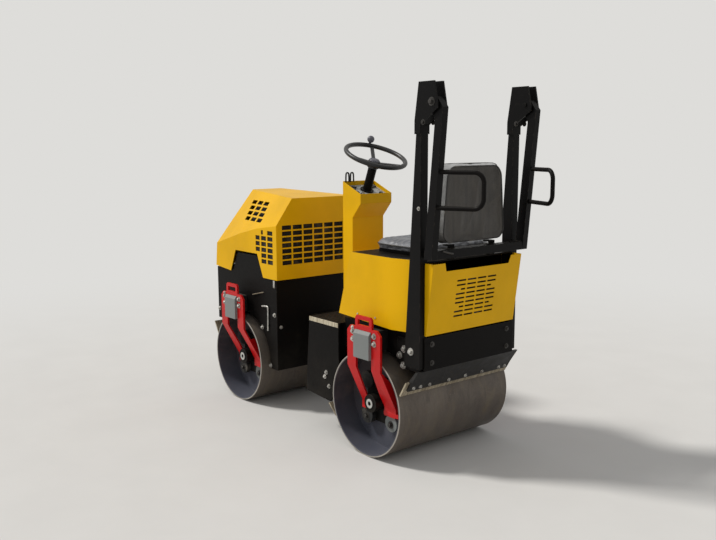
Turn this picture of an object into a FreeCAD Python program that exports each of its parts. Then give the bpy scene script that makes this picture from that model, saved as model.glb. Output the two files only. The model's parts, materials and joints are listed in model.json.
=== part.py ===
import FreeCAD, Part
import math
import os
import re
import Sketcher

# Ride-on tandem roller. X points ahead, Y to the left and Z up, in millimetres.
# Every outline is drawn from the rear axle, and each piece is then moved back by origin_ahead,
# so that the middle of the whole machine's box stands over the frame's origin.

doc = FreeCAD.newDocument("tandem_roller")
sizes = doc.addObject("Spreadsheet::Sheet", "Sizes")

# Driving dimensions: name, value
SIZES = [
    ("origin_ahead", 457.07),
    ("wheelbase", 1230),
    ("sheet_steel", 3),
    ("frame_plate", 12),
    # drums
    ("drum_diameter", 530),
    ("drum_width", 760),
    ("drum_shell", 12),
    ("drum_recess", 135),
    ("drum_disc", 10),
    ("axle_radius", 24),
    ("axle_hole_radius", 11),
    ("axle_end_y", 351),
    ("running_gap", 0.05),
    ("arch_gap", 22),
    # rear frame and foot platform
    ("rear_side_y", 290),
    ("rear_plate_half", 310),
    ("rear_plate_thick", 8),
    ("post_back_x", -350),
    ("rear_low_z", 500),
    ("rear_deck_z", 660),
    ("rear_deck_thick", 12),
    ("platform_half", 335),
    ("platform_rear_x", 272),
    ("platform_front_x", 532),
    ("platform_toe_x", 570),
    ("platform_z", 630),
    ("platform_toe_z", 205),
    ("platform_floor", 10),
    ("platform_back_x", 296),
    ("platform_corner_z", 262),
    # seat box
    ("cover_half", 332),
    ("cover_low_z", 668),
    ("cover_top_z", 1018),
    ("cover_fold_x", -143),
    ("cover_tail_x", -285),
    ("cover_tail_y", 297),
    ("box_front_low_x", 269),
    ("box_front_top_x", 169),
    ("rear_cover_half", 305),
    ("rear_cover_lean", 46),
    ("notch_half", 230),
    ("notch_deep", 40),
    ("notch_slant", 14),
    ("rear_slot_long", 60),
    ("rear_slot_tall", 8),
    ("rear_slot_pitch", 70),
    ("rear_slot_rise", 21.75),
    ("rear_slot_low_z", 744),
    # posts and folding hoop
    ("post_deep", 60),
    ("flange_deep", 107),
    ("flange_thick", 8),
    ("flange_top_x", -320),
    ("post_wide", 45),
    ("post_top_z", 1645),
    ("post_foot_z", 510),
    ("foot_plate_long", 195),
    ("foot_plate_low_z", 482),
    ("foot_plate_top_z", 635),
    ("foot_plate_thick", 10),
    ("cheek_thick", 8),
    ("cheek_top_z", 1830),
    ("cheek_front_x", -314),
    ("cheek_rear_x", -464),
    ("cheek_rear_z", 1713),
    ("hoop_pivot_x", -425),
    ("hoop_pivot_z", 1740),
    ("hoop_pin_radius", 10),
    ("hoop_side_gap", 5),
    ("hoop_tube_deep", 50),
    ("hoop_top_back_x", -482),
    ("hoop_top_z", 1715),
    ("hoop_low_back_x", -420),
    ("hoop_low_z", 1035),
    ("hoop_bar_tall", 40),
    ("handle_z", 1353),
    ("handle_tall", 160),
    ("handle_deep", 210),
    ("handle_seat", 25),
    ("handle_turn", 22),
    ("handle_radius", 10.5),
    ("handle_bend", 45),
    # seat
    ("pan_rear_x", -280),
    ("pan_front_x", 100),
    ("pan_half", 200),
    ("cushion_low_z", 1036),
    ("cushion_tall", 60),
    ("cushion_front_x", 130),
    ("cushion_rear_x", -300),
    ("seat_half", 235),
    ("back_low_z", 1088),
    ("back_top_z", 1475),
    ("back_rear_x", -388),
    ("back_thick", 78),
    ("soft_gap", 0.3),
    ("bracket_thick", 8),
    ("bracket_rear_x", -357),
    # console and steering
    ("console_half", 110),
    ("console_rear_x", 430),
    ("console_front_x", 515),
    ("console_lip_z", 1357),
    ("console_head_x", 360),
    ("console_head_z", 1240),
    ("console_neck_z", 1160),
    ("dash_thick", 4),
    ("wheel_hub_x", 379),
    ("wheel_hub_z", 1457),
    ("wheel_tilt", 22),
    ("wheel_radius", 165),
    ("rim_radius", 12.5),
    ("rim_rise", 40),
    ("spoke_wide", 20),
    ("spoke_thick", 6),
    ("knob_angle", -25),
    ("knob_radius", 20),
    ("hub_radius", 32),
    ("spindle_radius", 9),
    ("column_length", 165),
    ("column_radius", 24),
    # articulated joint and steering cylinder
    ("pivot_x", 700),
    ("pivot_pin_radius", 18),
    ("hitch_z", 437),
    ("hitch_tall", 110),
    ("hitch_ear", 15),
    ("hitch_radius", 46),
    ("hitch_gap", 5),
    ("cylinder_y", -130),
    ("barrel_pin_x", 400),
    ("rod_pin_x", 800),
    ("cylinder_radius", 23),
    ("cylinder_bore", 18),
    ("rod_radius", 11),
    ("eye_radius", 19),
    ("eye_tall", 26),
    ("eye_gap", 3),
    ("eye_ear", 10),
    ("eye_pin_radius", 8),
    # front frame, engine and hood
    ("front_frame_half", 327),
    ("front_rear_x", 868),
    ("front_nose_x", 1550),
    ("front_low_z", 245),
    ("front_chin_z", 460),
    ("front_sill_z", 790),
    ("front_deck_z", 575),
    ("hump_top_z", 905),
    ("hump_rear_x", 1011),
    ("hump_slant", 62),
    ("hump_front_x", 1356),
    ("engine_long", 400),
    ("engine_wide", 400),
    ("engine_tall", 440),
    ("engine_front_x", 1410),
    ("engine_foot_tall", 30),
    ("hood_half", 335),
    ("hood_rear_x", 848),
    ("hood_sill_z", 783),
    ("hood_nose_z", 944),
    ("hood_lip_x", 1553),
    ("hood_nose_x", 1535),
    ("hood_brow_x", 1457),
    ("hood_brow_z", 1275),
    ("hood_hinge_x", 1560),
    ("hood_hinge_z", 790),
    ("hinge_pin_radius", 5),
    ("hinge_radius", 10),
    ("hinge_y", 200),
    ("hinge_long", 30),
    ("hinge_ear", 8),
    ("cut_gap", 14),
    ("grid_slot_wide", 65),
    ("grid_slot_tall", 25.5),
    ("grid_pitch", 75),
    ("grid_rise", 34),
    ("grid_low_z", 864),
    ("slope_yaw", 9.9),
    ("slope_lean", 37.9),
    ("slope_slot_wide", 70),
    ("slope_slot_tall", 27),
    # drum hangers
    ("hanger_lead_rear", -13),
    ("hanger_lead_front", 27),
    ("hanger_y", 386),
    ("hanger_plate", 12),
    ("hanger_half", 128),
    ("hanger_low_z", 458),
    ("hanger_top_z", 664),
    ("loop_half", 64),
    ("loop_top_z", 722),
    ("loop_bar", 20),
    ("block_half", 60),
    ("block_low_z", 511),
    ("block_top_z", 662),
    ("block_y", 415),
    ("block_neck_z", 550),
    ("foot_y", 288),
    ("bracket_y", 250),
    ("bracket_plate", 10),
    ("bearing_radius", 46),
    ("buffer_radius", 44),
    ("buffer_spread", 94),
    # scrapers
    ("scraper_half", 372),
    ("scraper_gap", 7),
    ("scraper_blade", 8),
    ("scraper_deep", 85),
]

for row, (alias, size) in enumerate(SIZES, start=1):
    sizes.set("A%d" % row, alias)
    sizes.set("B%d" % row, str(size))
    sizes.setAlias("B%d" % row, alias)
doc.recompute()

# Places worked out from the sheet: name, formula
PLACES = {
    "drum_radius": "drum_diameter / 2",
    "arch_radius": "drum_radius + arch_gap",
    "post_front_x": "post_back_x + post_deep",
    "post_outer_y": "rear_side_y + post_wide",
    "rear_panel_x": "post_back_x - rear_plate_thick",
    "column_foot_x": "wheel_hub_x + column_length * sin(wheel_tilt)",
    "column_foot_z": "wheel_hub_z - column_length * cos(wheel_tilt)",
    "hoop_leg_in": "rear_side_y + hoop_side_gap",
    "hoop_leg_out": "post_outer_y - hoop_side_gap",
    "hoop_low_front_x": "hoop_low_back_x + hoop_tube_deep",
    "hoop_top_front_x": "hoop_top_back_x + hoop_tube_deep",
}
ALIASES = [alias for alias, size in SIZES]
WORD = re.compile(r"[a-z][a-z_0-9]*")


def bound(text):
    """The formula with each name replaced by its cell."""
    def swap(match):
        word = match.group(0)
        if word in PLACES:
            return "(" + bound(PLACES[word]) + ")"
        if word in ALIASES:
            return "Sizes." + word
        return word
    return WORD.sub(swap, str(text))


NUMBERS = {}


def number(text):
    """The formula's present value."""
    if text not in NUMBERS:
        found = sizes.evalExpression(bound(text))
        NUMBERS[text] = float(getattr(found, "Value", found))
    return NUMBERS[text]


# Plane name: role of the origin plane, sign from the plane's normal to its axis
PLANES = {"XY": ("XY_Plane", 1), "XZ": ("XZ_Plane", -1), "YZ": ("YZ_Plane", 1)}


def rect(left, right, low, high):
    return [(left, low), (right, low), (right, high), (left, high)]


def circle(across, up, radius):
    return ("circle", across, up, radius)


def draw(sketch, loops):
    """Closed polygons and circles, every corner held by a formula."""
    shapes, rules, formulas = [], [], []
    for loop in loops:
        first = len(shapes)
        if loop[0] == "circle":
            tag, across, up, radius = loop
            centre = FreeCAD.Vector(number(across), number(up), 0)
            shapes.append(Part.Circle(centre, FreeCAD.Vector(0, 0, 1), number(radius)))
            rules.append(Sketcher.Constraint("Radius", first, number(radius)))
            formulas.append(radius)
            corners = [(first, 3, across, up)]
        else:
            spots = [FreeCAD.Vector(number(across), number(up), 0) for across, up in loop]
            for index, spot in enumerate(spots):
                after = (index + 1) % len(spots)
                shapes.append(Part.LineSegment(spot, spots[after]))
                rules.append(Sketcher.Constraint("Coincident", first + index, 2, first + after, 1))
                formulas.append(None)
            corners = [(first + index, 1, across, up) for index, (across, up) in enumerate(loop)]
        for shape, spot, across, up in corners:
            for kind, text in (("DistanceX", across), ("DistanceY", up)):
                rules.append(Sketcher.Constraint(kind, -1, 1, shape, spot, number(text)))
                formulas.append(text)
    sketch.addGeometry(shapes, False)
    sketch.addConstraint(rules)
    for index, text in enumerate(formulas):
        if text is not None:
            sketch.setExpression("Constraints[%d]" % index, bound(text))


def sketch_on(body, plane, height, loops):
    role, sign = PLANES[plane]
    sketch = body.newObject("Sketcher::SketchObject", "Sketch")
    support = [item for item in body.Origin.OriginFeatures if item.Role == role][0]
    sketch.AttachmentSupport = [(support, "")]
    sketch.MapMode = "FlatFace"
    sketch.setExpression("AttachmentOffset.Base.z", bound("%d * (%s)" % (sign, height)))
    draw(sketch, loops)
    return sketch


def seat(part, base=("0", "0", "0"), turn=None):
    """Places a sub-part, which is drawn from the rear axle or from its own base."""
    if turn:
        part.Placement = FreeCAD.Placement(FreeCAD.Vector(), FreeCAD.Rotation(FreeCAD.Vector(0, 1, 0), 1))
        part.setExpression("Placement.Rotation.Angle", bound(turn))
    for axis, text in zip("xyz", (base[0] + " - origin_ahead", base[1], base[2])):
        part.setExpression("Placement.Base." + axis, bound(text))


PARTS = []


def piece(label, steps, base=("0", "0", "0"), turn=None):
    """A body made of steps: pad or cut, plane, loops, low and high along the plane's axis."""
    body = doc.addObject("PartDesign::Body", label)
    body.Label = label
    for action, plane, loops, low, high in steps:
        start = high if PLANES[plane][1] < 0 else low
        sketch = sketch_on(body, plane, start, loops)
        kind = "PartDesign::Pad" if action == "pad" else "PartDesign::Pocket"
        feature = body.newObject(kind, action)
        feature.Profile = sketch
        feature.setExpression("Length", bound("(%s) - (%s)" % (high, low)))
        feature.Reversed = action == "cut"
    seat(body, base, turn)
    PARTS.append(body)
    return body


SIDES = (("left", 1), ("right", -1))


def span(side, low, high):
    """A stretch of Y on one side of the machine."""
    if side > 0:
        return low, high
    return "-(%s)" % high, "-(%s)" % low


# Drums: name, axle place
AXLES = {"rear": "0", "front": "wheelbase"}

for end, axle in AXLES.items():
    steps = [
        ("pad", "XZ", [circle(axle, "drum_radius", "drum_radius"),
                       circle(axle, "drum_radius", "drum_radius - drum_shell")],
         "-drum_width / 2", "drum_width / 2"),
    ]
    for name, side in SIDES:
        low, high = span(side, "drum_width / 2 - drum_recess - drum_disc", "drum_width / 2 - drum_recess")
        steps.append(("pad", "XZ", [circle(axle, "drum_radius", "drum_radius - drum_shell / 2")], low, high))
        low, high = span(side, "drum_width / 2 - drum_recess - drum_disc", "axle_end_y")
        steps.append(("pad", "XZ", [circle(axle, "drum_radius", "axle_radius"),
                                    circle(axle, "drum_radius", "axle_hole_radius")], low, high))
    piece("drum_" + end, steps)

# Drum hangers: red plate, grey block, black bearing bracket and rubber buffers at each drum end
LEADS = {"rear": "hanger_lead_rear", "front": "hanger_lead_front"}

for end, axle in AXLES.items():
    mid = "(%s + %s)" % (axle, LEADS[end])
    for name, side in SIDES:
        inner_y, outer_y = "hanger_y", "hanger_y + hanger_plate"
        low, high = span(side, inner_y, outer_y)
        plate = [
            (mid + " - hanger_half", "hanger_low_z"),
            (mid + " + hanger_half", "hanger_low_z"),
            (mid + " + hanger_half", "hanger_top_z - 25"),
            (mid + " + hanger_half - 25", "hanger_top_z"),
            (mid + " + loop_half", "hanger_top_z"),
            (mid + " + loop_half", "loop_top_z - 12"),
            (mid + " + loop_half - 12", "loop_top_z"),
            (mid + " - loop_half + 12", "loop_top_z"),
            (mid + " - loop_half", "loop_top_z - 12"),
            (mid + " - loop_half", "hanger_top_z"),
            (mid + " - hanger_half + 25", "hanger_top_z"),
            (mid + " - hanger_half", "hanger_top_z - 25"),
        ]
        window = rect(mid + " - loop_half + loop_bar", mid + " + loop_half - loop_bar",
                      "hanger_top_z + 12", "loop_top_z - loop_bar")
        steps = [("pad", "XZ", [plate, window], low, high)]
        leg_low, leg_high = span(side, "foot_y", outer_y)
        legs = [
            [(mid + " + block_half", "hanger_low_z + 30"), (mid + " + hanger_half", "hanger_low_z + 30"),
             (mid + " + hanger_half", "hanger_low_z"), (axle + " + 118", "drum_radius - 55"),
             (axle + " + bearing_radius + 12", "drum_radius - 55"),
             (axle + " + bearing_radius + 12", "drum_radius + 60"), (mid + " + block_half", "hanger_low_z")],
            [(mid + " - block_half", "hanger_low_z + 30"), (mid + " - block_half", "hanger_low_z"),
             (axle + " - bearing_radius - 12", "drum_radius + 60"),
             (axle + " - bearing_radius - 12", "drum_radius - 55"), (axle + " - 140", "drum_radius - 55"),
             (mid + " - hanger_half", "hanger_low_z"), (mid + " - hanger_half", "hanger_low_z + 30")],
        ]
        for leg in legs:
            steps.append(("pad", "XZ", [leg], leg_low, leg_high))
        # the legs lean in towards the drum's end disc
        flip = "" if side > 0 else "-1 * "
        outside = [(flip + "(hanger_y + hanger_plate + 5)", "hanger_low_z"),
                   (flip + "(hanger_y + hanger_plate)", "hanger_low_z"),
                   (flip + "(foot_y + hanger_plate)", "drum_radius - 10"),
                   (flip + "(foot_y + hanger_plate)", "drum_radius - 70"),
                   (flip + "(hanger_y + hanger_plate + 5)", "drum_radius - 70")]
        inside = [(flip + "(foot_y - 5)", "hanger_low_z + 40"),
                  (flip + "hanger_y", "hanger_low_z + 40"),
                  (flip + "hanger_y", "hanger_low_z - 6"),
                  (flip + "foot_y", "drum_radius - 16"),
                  (flip + "(foot_y - 5)", "drum_radius - 16")]
        reach = (mid + " - hanger_half - 10", mid + " + hanger_half + 10")
        steps.append(("cut", "YZ", [outside], reach[0], reach[1]))
        steps.append(("cut", "YZ", [inside], reach[0], reach[1]))
        # middle opening for the block
        steps.append(("cut", "XZ", [rect(mid + " - block_half", mid + " + block_half",
                                         "hanger_low_z - 5", "block_top_z - 12")], low, high))
        piece("hanger_%s_%s" % (end, name), steps)

        frame_y = "rear_side_y" if end == "rear" else "front_frame_half"
        block = [(flip + frame_y, "block_neck_z"), (flip + "hanger_y", "block_neck_z"),
                 (flip + "hanger_y", "block_low_z"), (flip + "block_y", "block_low_z"),
                 (flip + "block_y", "block_top_z - 28"), (flip + "(block_y - 12)", "block_top_z - 12"),
                 (flip + frame_y, "block_top_z - 12")]
        piece("block_%s_%s" % (end, name), [
            ("pad", "YZ", [block], mid + " - block_half", mid + " + block_half")])

        low, high = span(side, "bracket_y", "bracket_y + bracket_plate")
        arm = "(buffer_spread + buffer_radius * 0.6)"
        corner = "(buffer_spread - buffer_radius * 0.6)"
        star = []
        for across, up in ((arm, corner), (corner, arm)):
            star.append(("%s + %s" % (axle, across), "drum_radius + " + up))
        for across, up in ((corner, arm), (arm, corner)):
            star.append(("%s - %s" % (axle, across), "drum_radius + " + up))
        for across, up in ((arm, corner), (corner, arm)):
            star.append(("%s - %s" % (axle, across), "drum_radius - " + up))
        for across, up in ((corner, arm), (arm, corner)):
            star.append(("%s + %s" % (axle, across), "drum_radius - " + up))
        bore = circle(axle, "drum_radius", "axle_radius + running_gap")
        steps = [("pad", "XZ", [star, bore], low, high)]
        low, high = span(side, "bracket_y", "axle_end_y - 6")
        steps.append(("pad", "XZ", [circle(axle, "drum_radius", "bearing_radius"), bore], low, high))
        piece("bearing_%s_%s" % (end, name), steps)

        low, high = span(side, "bracket_y + bracket_plate", "foot_y")
        discs = []
        for dx in (-1, 1):
            for dz in (-1, 1):
                discs.append(circle("%s + %d * buffer_spread" % (axle, dx),
                                    "drum_radius + %d * buffer_spread" % dz, "buffer_radius"))
        piece("buffers_%s_%s" % (end, name), [("pad", "XZ", discs, low, high)])

# Rear frame: side plates over the drum, rear plate and deck
rear_side = [
    ("post_back_x", "rear_low_z"), ("platform_back_x", "rear_low_z"),
    ("platform_back_x", "platform_z - platform_floor"),
    ("platform_rear_x", "platform_z - platform_floor"), ("platform_rear_x", "rear_deck_z"),
    ("post_back_x", "rear_deck_z"),
]
arch = circle("0", "drum_radius", "arch_radius")
steps = [
    ("pad", "YZ", [rect("-rear_plate_half", "rear_plate_half", "rear_low_z", "rear_deck_z")],
     "rear_panel_x", "post_back_x"),
    ("pad", "XY", [rect("post_back_x", "platform_rear_x", "-rear_side_y", "rear_side_y")],
     "rear_deck_z - rear_deck_thick", "rear_deck_z"),
]
for name, side in SIDES:
    low, high = span(side, "rear_side_y - frame_plate", "rear_side_y")
    steps.append(("pad", "XZ", [rear_side], low, high))
steps.append(("cut", "XZ", [arch], "-rear_side_y", "rear_side_y"))
piece("rear_frame", steps)

# Foot platform: side plates, tread floor and slanted front plate with a gap for the cylinder
side_plate = [
    ("platform_rear_x", "platform_z"), ("platform_rear_x", "platform_corner_z"),
    ("platform_back_x", "platform_corner_z"), ("platform_back_x + 50", "platform_toe_z - 17"),
    ("platform_toe_x", "platform_toe_z"),
    ("platform_front_x", "platform_z"),
]
front_plate = [
    ("platform_front_x", "platform_z"), ("platform_toe_x", "platform_toe_z"),
    ("platform_toe_x - frame_plate", "platform_toe_z"), ("platform_front_x - frame_plate", "platform_z"),
]
floor = rect("platform_rear_x", "platform_front_x - frame_plate / 2", "-platform_half", "platform_half")
steps = [
    ("pad", "XY", [floor], "platform_z - platform_floor", "platform_z"),
    ("pad", "XZ", [front_plate], "-platform_half", "platform_half"),
    ("pad", "XZ", [rect("platform_back_x", "platform_back_x + sheet_steel", "platform_corner_z", "platform_z")],
     "-platform_half", "platform_half"),
]
for name, side in SIDES:
    low, high = span(side, "platform_half - frame_plate", "platform_half")
    steps.append(("pad", "XZ", [side_plate], low, high))
steps.append(("cut", "XZ", [arch], "-platform_half", "platform_half"))
steps.append(("cut", "YZ", [rect("cylinder_y - 62", "cylinder_y + 62", "hitch_z - 50", "hitch_z + 50")],
              "platform_front_x - 40", "platform_toe_x + 5"))
piece("foot_platform", steps)

# Seat box: folded side covers, front panel, rear cover with slots, deck under the seat
for name, side in SIDES:
    flip = "" if side > 0 else "-1 * "
    plan = [
        ("box_front_low_x", flip + "cover_half"), ("cover_fold_x", flip + "cover_half"),
        ("cover_tail_x", flip + "cover_tail_y"), ("cover_tail_x", flip + "(cover_tail_y - sheet_steel)"),
        ("cover_fold_x", flip + "(cover_half - sheet_steel)"),
        ("box_front_low_x", flip + "(cover_half - sheet_steel)"),
    ]
    low, high = span(side, "cover_half - 2 * sheet_steel", "cover_half + sheet_steel")
    slant = [("box_front_low_x", "cover_low_z + 20"), ("box_front_low_x + 10", "cover_low_z + 20"),
             ("box_front_low_x + 10", "cover_top_z + 5"), ("box_front_top_x", "cover_top_z + 5"),
             ("box_front_top_x", "cover_top_z")]
    sliver = [("box_front_low_x + 10", "cover_low_z + 20"), ("cover_fold_x", "cover_low_z"),
              ("cover_fold_x", "cover_low_z - 5"), ("box_front_low_x + 10", "cover_low_z - 5")]
    piece("side_cover_" + name, [
        ("pad", "XY", [plan], "cover_low_z", "cover_top_z"),
        ("cut", "XZ", [slant], low, high),
        ("cut", "XZ", [sliver], low, high),
    ])

box_front = [
    ("box_front_low_x", "cover_low_z + 20"), ("box_front_top_x", "cover_top_z"),
    ("box_front_top_x - sheet_steel", "cover_top_z"), ("box_front_low_x - sheet_steel", "cover_low_z + 20"),
]
piece("seat_box_front", [("pad", "XZ", [box_front], "-cover_half + sheet_steel", "cover_half - sheet_steel")])

panel = [
    ("rear_panel_x", "cover_low_z"), ("rear_panel_x - rear_cover_lean", "cover_top_z - 6"),
    ("rear_panel_x - rear_cover_lean - sheet_steel", "cover_top_z - 6"),
    ("rear_panel_x - sheet_steel", "cover_low_z"),
]
steps = [("pad", "XZ", [panel], "-rear_cover_half", "rear_cover_half")]
wing = [("post_back_x", "cover_low_z"), ("post_back_x", "cover_top_z - 6"),
        ("rear_panel_x - rear_cover_lean - 1", "cover_top_z - 6"), ("rear_panel_x - 1", "cover_low_z")]
for name, side in SIDES:
    low, high = span(side, "rear_cover_half - sheet_steel", "rear_cover_half")
    steps.append(("pad", "XZ", [wing], low, high))
notch = [("-notch_half", "cover_top_z"), ("-notch_half + notch_slant", "cover_top_z - 6 - notch_deep"),
         ("notch_half - notch_slant", "cover_top_z - 6 - notch_deep"), ("notch_half", "cover_top_z")]
low, high = "rear_panel_x - rear_cover_lean - 2 * sheet_steel", "rear_panel_x + sheet_steel"
steps.append(("cut", "YZ", [notch], low, high))
for level in range(9):
    slots = []
    for column in range(4):
        across = "(%s) * rear_slot_pitch" % (column - 1.5)
        left, right = across + " - rear_slot_long / 2", across + " + rear_slot_long / 2"
        if level in (2, 6) and column == 0:
            left = across
        if level in (2, 6) and column == 3:
            right = across
        up = "rear_slot_low_z + %d * rear_slot_rise" % level
        slots.append(rect(left, right, up + " - rear_slot_tall / 2", up + " + rear_slot_tall / 2"))
    steps.append(("cut", "YZ", slots, low, high))
piece("rear_cover", steps)

deck = [
    ("box_front_top_x - sheet_steel", "-cover_half + sheet_steel"),
    ("box_front_top_x - sheet_steel", "cover_half - sheet_steel"),
    ("cover_fold_x", "cover_half - sheet_steel"), ("cover_tail_x", "cover_tail_y - sheet_steel"),
    ("post_front_x", "rear_side_y"), ("post_back_x", "rear_side_y"),
    ("post_back_x", "-rear_side_y"), ("post_front_x", "-rear_side_y"),
    ("cover_tail_x", "-cover_tail_y + sheet_steel"), ("cover_fold_x", "-cover_half + sheet_steel"),
]
piece("seat_deck", [("pad", "XY", [deck], "cover_top_z - 8", "cover_top_z")])

# Seat: pan with the brackets that carry the back, cushion and back
pan = rect("pan_rear_x", "pan_front_x", "-pan_half", "pan_half")
steps = [("pad", "XY", [pan], "cover_top_z", "cushion_low_z - soft_gap")]
for name, side in SIDES:
    low, high = span(side, "pan_half - 80", "pan_half - 40")
    strap = [("pan_rear_x", "cover_top_z"), ("pan_rear_x", "cover_top_z + bracket_thick"),
             ("bracket_rear_x + bracket_thick", "cover_top_z + bracket_thick"),
             ("bracket_rear_x + bracket_thick", "back_low_z - bracket_thick"),
             ("back_rear_x + back_thick - 6", "back_low_z - bracket_thick"),
             ("back_rear_x + back_thick - 6", "back_low_z - soft_gap"),
             ("bracket_rear_x", "back_low_z - soft_gap"), ("bracket_rear_x", "cover_top_z")]
    steps.append(("pad", "XZ", [strap], low, high))
piece("seat_pan", steps)
piece("seat_cushion", [("pad", "XY", [rect("cushion_rear_x", "cushion_front_x", "-seat_half", "seat_half")],
                        "cushion_low_z", "cushion_low_z + cushion_tall")])
back = rect("back_rear_x", "back_rear_x + back_thick", "back_low_z", "back_top_z")
piece("seat_back", [("pad", "XZ", [back], "-seat_half", "seat_half")])

# Console, dash panel, steering column and wheel
console = [
    ("console_rear_x", "platform_z"), ("console_front_x", "platform_z"), ("console_front_x", "console_lip_z"),
    ("console_head_x", "column_foot_z - (column_foot_x - console_head_x) * tan(wheel_tilt) + 20"),
    ("console_head_x", "console_head_z"), ("console_rear_x", "console_neck_z"),
]
hollow = [
    ("console_rear_x + sheet_steel", "platform_z + sheet_steel"),
    ("console_front_x - sheet_steel", "platform_z + sheet_steel"),
    ("console_front_x - sheet_steel", "console_lip_z + 50"),
    ("console_head_x + sheet_steel", "console_lip_z + 50"),
    ("console_head_x + sheet_steel", "console_head_z + 1.5"),
    ("console_rear_x + sheet_steel", "console_neck_z + 1.5"),
]
piece("console", [
    ("pad", "XZ", [console], "-console_half", "console_half"),
    ("cut", "XZ", [hollow], "-console_half + sheet_steel", "console_half - sheet_steel"),
])


def dash_z(across):
    return "column_foot_z - (column_foot_x - (%s)) * tan(wheel_tilt)" % across


dash = [
    ("console_head_x + sheet_steel", dash_z("console_head_x + sheet_steel")),
    ("console_front_x - sheet_steel", dash_z("console_front_x - sheet_steel")),
    ("console_front_x - sheet_steel", dash_z("console_front_x - sheet_steel") + " - dash_thick"),
    ("console_head_x + sheet_steel", dash_z("console_head_x + sheet_steel") + " - dash_thick"),
]
piece("dash_panel", [("pad", "XZ", [dash], "-console_half + sheet_steel", "console_half - sheet_steel")])

hub_place = ("wheel_hub_x", "0", "wheel_hub_z")
spindle_bore = circle("0", "0", "spindle_radius + running_gap")
piece("steering_column", [
    ("pad", "XY", [circle("0", "0", "column_radius"), spindle_bore], "-column_length", "-34"),
    ("pad", "XY", [circle("0", "0", "column_radius + 14"), spindle_bore],
     "-column_length", "-column_length + 8"),
], hub_place, "-wheel_tilt")



def primitive(kind, name, fields, *place):
    """A plain solid with its sizes and its place held by formulas."""
    solid = doc.addObject(kind, name)
    for field, value in fields.items():
        solid.setExpression(field, bound(value))
    for field, value in zip("xyz", place):
        solid.setExpression("Placement.Base." + field, bound(value))
    return solid


# The rim stands above the hub, the three spokes rise to it and a ball knob stands on it
ABOUT_X = FreeCAD.Vector(1, 0, 0)
ABOUT_Y = FreeCAD.Vector(0, 1, 0)
ABOUT_Z = FreeCAD.Vector(0, 0, 1)
knob_x, knob_y = "wheel_radius * cos(knob_angle)", "wheel_radius * sin(knob_angle)"
slope = math.degrees(math.atan2(number("rim_rise"), number("wheel_radius")))
wheel_solids = [
    primitive("Part::Torus", "rim", {"Radius1": "wheel_radius", "Radius2": "rim_radius"}, "0", "0", "rim_rise"),
    primitive("Part::Cylinder", "hub", {"Radius": "hub_radius", "Height": "38"}, "0", "0", "-26"),
    primitive("Part::Cylinder", "spindle", {"Radius": "spindle_radius", "Height": "70"}, "0", "0", "-90"),
    primitive("Part::Cylinder", "knob_stem", {"Radius": "7", "Height": "30"}, knob_x, knob_y, "rim_rise"),
    primitive("Part::Sphere", "knob", {"Radius": "knob_radius"}, knob_x, knob_y, "rim_rise + rim_radius + 24"),
]
for turn in (90, 210, 330):
    spoke = doc.addObject("Part::Box", "spoke")
    spoke.setExpression("Length", bound("sqrt(wheel_radius ^ 2 + rim_rise ^ 2)"))
    spoke.setExpression("Width", bound("spoke_wide"))
    spoke.setExpression("Height", bound("spoke_thick"))
    turned = FreeCAD.Rotation(ABOUT_Z, turn) * FreeCAD.Rotation(ABOUT_Y, -slope)
    corner = turned.multVec(FreeCAD.Vector(0, -number("spoke_wide") / 2, -number("spoke_thick") / 2))
    spoke.Placement = FreeCAD.Placement(corner, turned)
    wheel_solids.append(spoke)
wheel = doc.addObject("Part::MultiFuse", "steering_wheel")
wheel.Label = "steering_wheel"
wheel.Shapes = wheel_solids
seat(wheel, hub_place, "-wheel_tilt")
PARTS.append(wheel)

# Posts with their outer flanges, hinge cheeks and pins
flange_x = "(post_back_x + flange_deep)"
flange_lean = "(%s - flange_top_x) / (post_top_z - post_foot_z)" % flange_x
bend_z = "post_foot_z + (%s - post_front_x) / (%s)" % (flange_x, flange_lean)
flange = [("post_back_x", "post_foot_z"), (flange_x, "post_foot_z"), ("flange_top_x", "post_top_z"),
          ("post_back_x", "post_top_z")]
tube = [("post_back_x", "post_foot_z"), ("post_front_x", "post_foot_z"), ("post_front_x", bend_z),
        ("flange_top_x", "post_top_z"), ("post_back_x", "post_top_z")]
cheek = [
    ("cheek_front_x", "post_top_z - 45"), ("cheek_front_x", "post_top_z + 15"),
    ("cheek_front_x - 26", "cheek_top_z"),
    ("cheek_rear_x + 24", "cheek_top_z"), ("cheek_rear_x", "cheek_rear_z"), ("post_back_x", "post_top_z - 5"),
    ("post_back_x", "post_top_z - 45"),
]
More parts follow.
